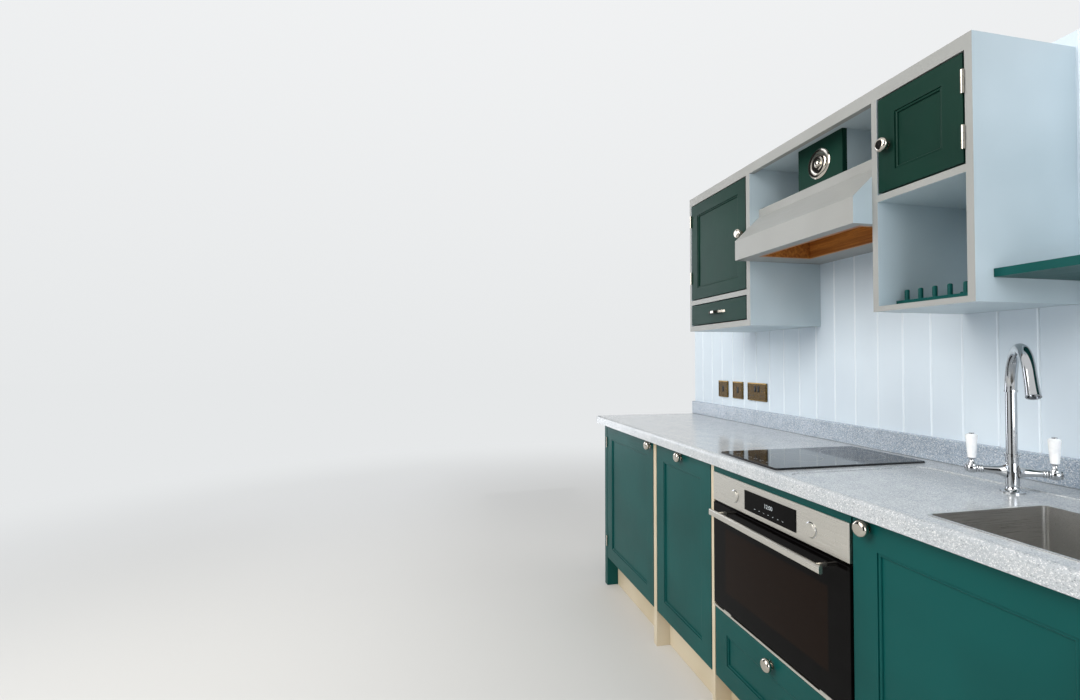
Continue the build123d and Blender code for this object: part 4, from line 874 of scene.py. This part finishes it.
def wire_grid(width, height, across, along):
    """A flat grid of welded wires of this size, lying at the origin."""
    bpy.ops.object.select_all(action="DESELECT")
    bpy.ops.mesh.primitive_grid_add(x_subdivisions=across, y_subdivisions=along, size=1)
    piece = bpy.context.object
    bpy.ops.object.mode_set(mode="EDIT")
    bpy.ops.mesh.select_all(action="SELECT")
    bpy.ops.transform.resize(value=(width, height, 1), center_override=(0, 0, 0))
    bpy.ops.object.mode_set(mode="OBJECT")
    wire = piece.modifiers.new("wire", "WIREFRAME")
    wire.thickness = RACK_WIRE
    bpy.ops.object.modifier_apply(modifier=wire.name)
    return piece


width, depth, tall = [high - low for low, high in zip(CAVITY_LOW, CAVITY_HIGH)]
middle = [(low + high) / 2 for low, high in zip(CAVITY_LOW, CAVITY_HIGH)]
rack = wire_grid(width - 2 * LADDER_GAP, depth, RACK_BARS, RACK_RAILS)
rack.location = (middle[0], middle[1], RACK_HEIGHT)
settle(rack, "oven_wire_rack", "carcass", chrome)
ladders = []
for x in (CAVITY_LOW[0] + RACK_WIRE, CAVITY_HIGH[0] - RACK_WIRE):
    ladder = wire_grid(depth, tall, LADDER_POSTS, LADDER_RUNGS)
    ladder.rotation_euler = (QUARTER, 0, QUARTER)
    ladder.location = (x, middle[1], middle[2])
    ladders.append(ladder)
settle(joined(ladders), "oven_side_ladders", "carcass", chrome)

# Wall units: a painted face frame over deep sides and shelves, in pale warm grey. The sides,
# insides and the hood's near end are a pale grey-blue: painted light, the cool daylight that falls
# on faces turned that way.
# A turned rosette is pinned to the duct casing.
FRAME_GREY = "#9FA09E"
FRAME_GREY_SHADE = "#979895"
SIDE_PAINTED_DAYLIGHT = "#C4D2D8"
SIDE_PAINTED_DAYLIGHT_PATCHES = "#B9C8CE"
ROSETTE = (
    (0.051, 0), (0.051, 0.0025), (0.048, 0.0045), (0.044, 0.0035), (0.039, 0.0032),
    (0.037, 0.006), (0.031, 0.0085), (0.022, 0.007), (0.014, 0.0068), (0.0125, 0.0105),
    (0.008, 0.0145), (0.003, 0.016),
)

frame_grey = eggshell("grey_eggshell_frames", FRAME_GREY, FRAME_GREY_SHADE, ALONG_X)
daylit_side_paint = eggshell("grey_eggshell_with_painted_daylight_on_sides", SIDE_PAINTED_DAYLIGHT, SIDE_PAINTED_DAYLIGHT_PATCHES, ALONG_Z)
dress(daylit_side_paint, "upper_sides", "upper_shelves", "upper_top", "duct_casing_sides")
for name in ("upper_sides", "upper_shelves", "upper_top"):
    dress_faces(frame_grey, name, lambda middle, normal: normal.y < -0.5)
dress(frame_grey, "upper_rails", "hood_canopy", "open_shelf")
# The hood's near end faces the same way as the unit sides and takes the same painted daylight.
dress_faces(daylit_side_paint, "hood_canopy", lambda middle, normal: normal.x > 0.5)
dress(shaded_green_upright, "duct_casing_front")

casing_low, casing_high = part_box("duct_casing_front")
casing_middle = (casing_low + casing_high) / 2
rosette = turned(ROSETTE, 64)
rosette.rotation_euler.x = QUARTER
rosette.location = (casing_middle.x, casing_low.y, casing_middle.z)
settle(rosette, "duct_casing_rosette", "carcass", nickel)

# Cooker hood lining: planed oak boards, glued edge to edge, let into the foot of the canopy and
# oiled to an orange brown.
OAK_PALE = "#C9873F"
OAK_DARK = "#9A5C25"
OAK_BAND = 9.0
OAK_ROUGHNESS = 0.42

oiled_oak = timber("oiled_oak", OAK_PALE, OAK_DARK, ALONG_X, OAK_BAND, OAK_ROUGHNESS)
dress(oiled_oak, "hood_lining")

# Plate rack and side shelf: boards and turned pegs, glued and screwed together and brushed with
# the same green eggshell as the base fronts.
dress(green_level, "plate_rack", "plate_rack_pegs", "side_shelf")

# Socket plates: pressed brass, lacquered a dark antique tone that is rubbed pale along the rims.
# Each has two screws. The switches are black rockers, and the outlets have black shutters.
BRASS = "#46371F"
BRASS_ROUGHNESS = 0.24
BRASS_RIM = "#977B49"
BRASS_RIM_ROUGHNESS = 0.2
ROCKER_BLACK = "#121110"
ROCKER_ROUGHNESS = 0.25
PLATES = ((-0.8865, 0.086, "switch"), (-0.7525, 0.086, "switch"), (-0.5935, 0.146, "outlets"))
PLATE_RIM = 0.0045
PLATE_PROUD = 0.0012
PLATE_SUNK = 0.7
SCREW = ((0.0034, 0), (0.0034, 0.0007), (0.0026, 0.0012))
SCREW_INSET = 0.0128
SCREW_PROUD = 0.3
SURROUND = (0.0085, 0.0155, 0.0007)
SURROUND_EDGE = 0.0003
ROCKER = (0.0055, 0.012, 0.003)
ROCKER_EDGE = 0.0007
ROCKER_BEND = 0.008
ROCKER_TILT = 0.0014
OUTLET_ROCKER = (0.0125, 0.014)
OUTLET_OFF = 0.0385
PINS = (
    (0.0, 0.0035, 0.0023, 0.0042), (-0.011, -0.0185, 0.0037, 0.0023),
    (0.011, -0.0185, 0.0037, 0.0023),
)
PIN_PROUD = 0.0004

brass = polished("lacquered_antique_brass", BRASS, BRASS_ROUGHNESS)
brass_rim = polished("rubbed_brass_rim", BRASS_RIM, BRASS_RIM_ROUGHNESS)
rocker_black = eggshell(
    "moulded_black_rocker", ROCKER_BLACK, ROCKER_BLACK, ALONG_Z, ROCKER_ROUGHNESS,
)
dress(brass, "socket_plates")
plates_low, plates_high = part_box("socket_plates")
plates_front = plates_low.y
plate_middle = (plates_low.z + plates_high.z) / 2
plate_half = (plates_high.z - plates_low.z) / 2


def proud_block(x, z, half_width, half_height, proud, edge, segments):
    """A small block on the plates' front, its front edges and corners rounded, in edit mode."""
    low = (x - half_width, plates_front - proud, z - half_height)
    piece = block(low, (x + half_width, plates_front, z + half_height))
    choose(piece, "EDGE", lambda p: p.y < plates_front - 0.1 * proud)
    bpy.ops.mesh.bevel(offset=edge, segments=segments)
    return piece


faces = []
rockers = []
surrounds = []
pins = []
screws = []
for x, width, kind in PLATES:
    size = (width / 2, plate_half, PLATE_PROUD)
    face = proud_block(x, plate_middle, *size, PLATE_PROUD / 2, 2)
    choose(face, "FACE", lambda p: p.y < plates_front - 0.9 * PLATE_PROUD)
    bpy.ops.mesh.inset(thickness=PLATE_RIM)
    bpy.ops.transform.translate(value=(0, PLATE_PROUD * PLATE_SUNK, 0))
    bpy.ops.object.mode_set(mode="OBJECT")
    faces.append(face)
    if kind == "switch":
        spots = [(x, plate_middle)]
    else:
        across, up = OUTLET_ROCKER
        spots = [(x + side * across, plate_middle + up) for side in (-1, 1)]
        for side in (-1, 1):
            for pin_x, pin_z, half_width, half_height in PINS:
                middle = (x + side * OUTLET_OFF + pin_x, plate_middle + pin_z)
                size = (half_width, half_height, PIN_PROUD)
                pins.append(proud_block(*middle, *size, PIN_PROUD / 3, 1))
                bpy.ops.object.mode_set(mode="OBJECT")
    for spot in spots:
        surrounds.append(proud_block(*spot, *SURROUND, SURROUND_EDGE, 2))
        bpy.ops.object.mode_set(mode="OBJECT")
        rocker = proud_block(*spot, *ROCKER, ROCKER_EDGE, 3)
        half_out = plates_front - 0.5 * ROCKER[2]
        choose(rocker, "FACE", lambda p: p.y < half_out and p.z > spot[1] + ROCKER_BEND)
        bpy.ops.transform.translate(value=(0, ROCKER_TILT, 0))
        bpy.ops.object.mode_set(mode="OBJECT")
        rockers.append(rocker)
    for side in (-1, 1):
        screw = turned(SCREW, 20)
        screw.rotation_euler.x = QUARTER
        screw_x = x + side * (width / 2 - SCREW_INSET)
        screw.location = (screw_x, plates_front - PLATE_PROUD * SCREW_PROUD, plate_middle)
        screws.append(screw)

plate_faces = joined(faces)
settle(plate_faces, "socket_faces", "carcass", brass)
plate_faces.data.materials.append(brass_rim)
for face in plate_faces.data.polygons:
    x, width = min(PLATES, key=lambda plate: abs(plate[0] - face.center.x))[:2]
    on_side = abs(face.center.x - x) > width / 2 - PLATE_RIM
    on_end = abs(face.center.z - plate_middle) > plate_half - PLATE_RIM
    face.material_index = 1 if on_side or on_end else 0
settle(joined(rockers), "socket_rockers", "carcass", rocker_black)
settle(joined(surrounds), "socket_surrounds", "carcass", rocker_black)
settle(joined(pins), "socket_pin_shutters", "carcass", rocker_black)
settle(joined(screws), "socket_screws", "carcass", brass_rim)
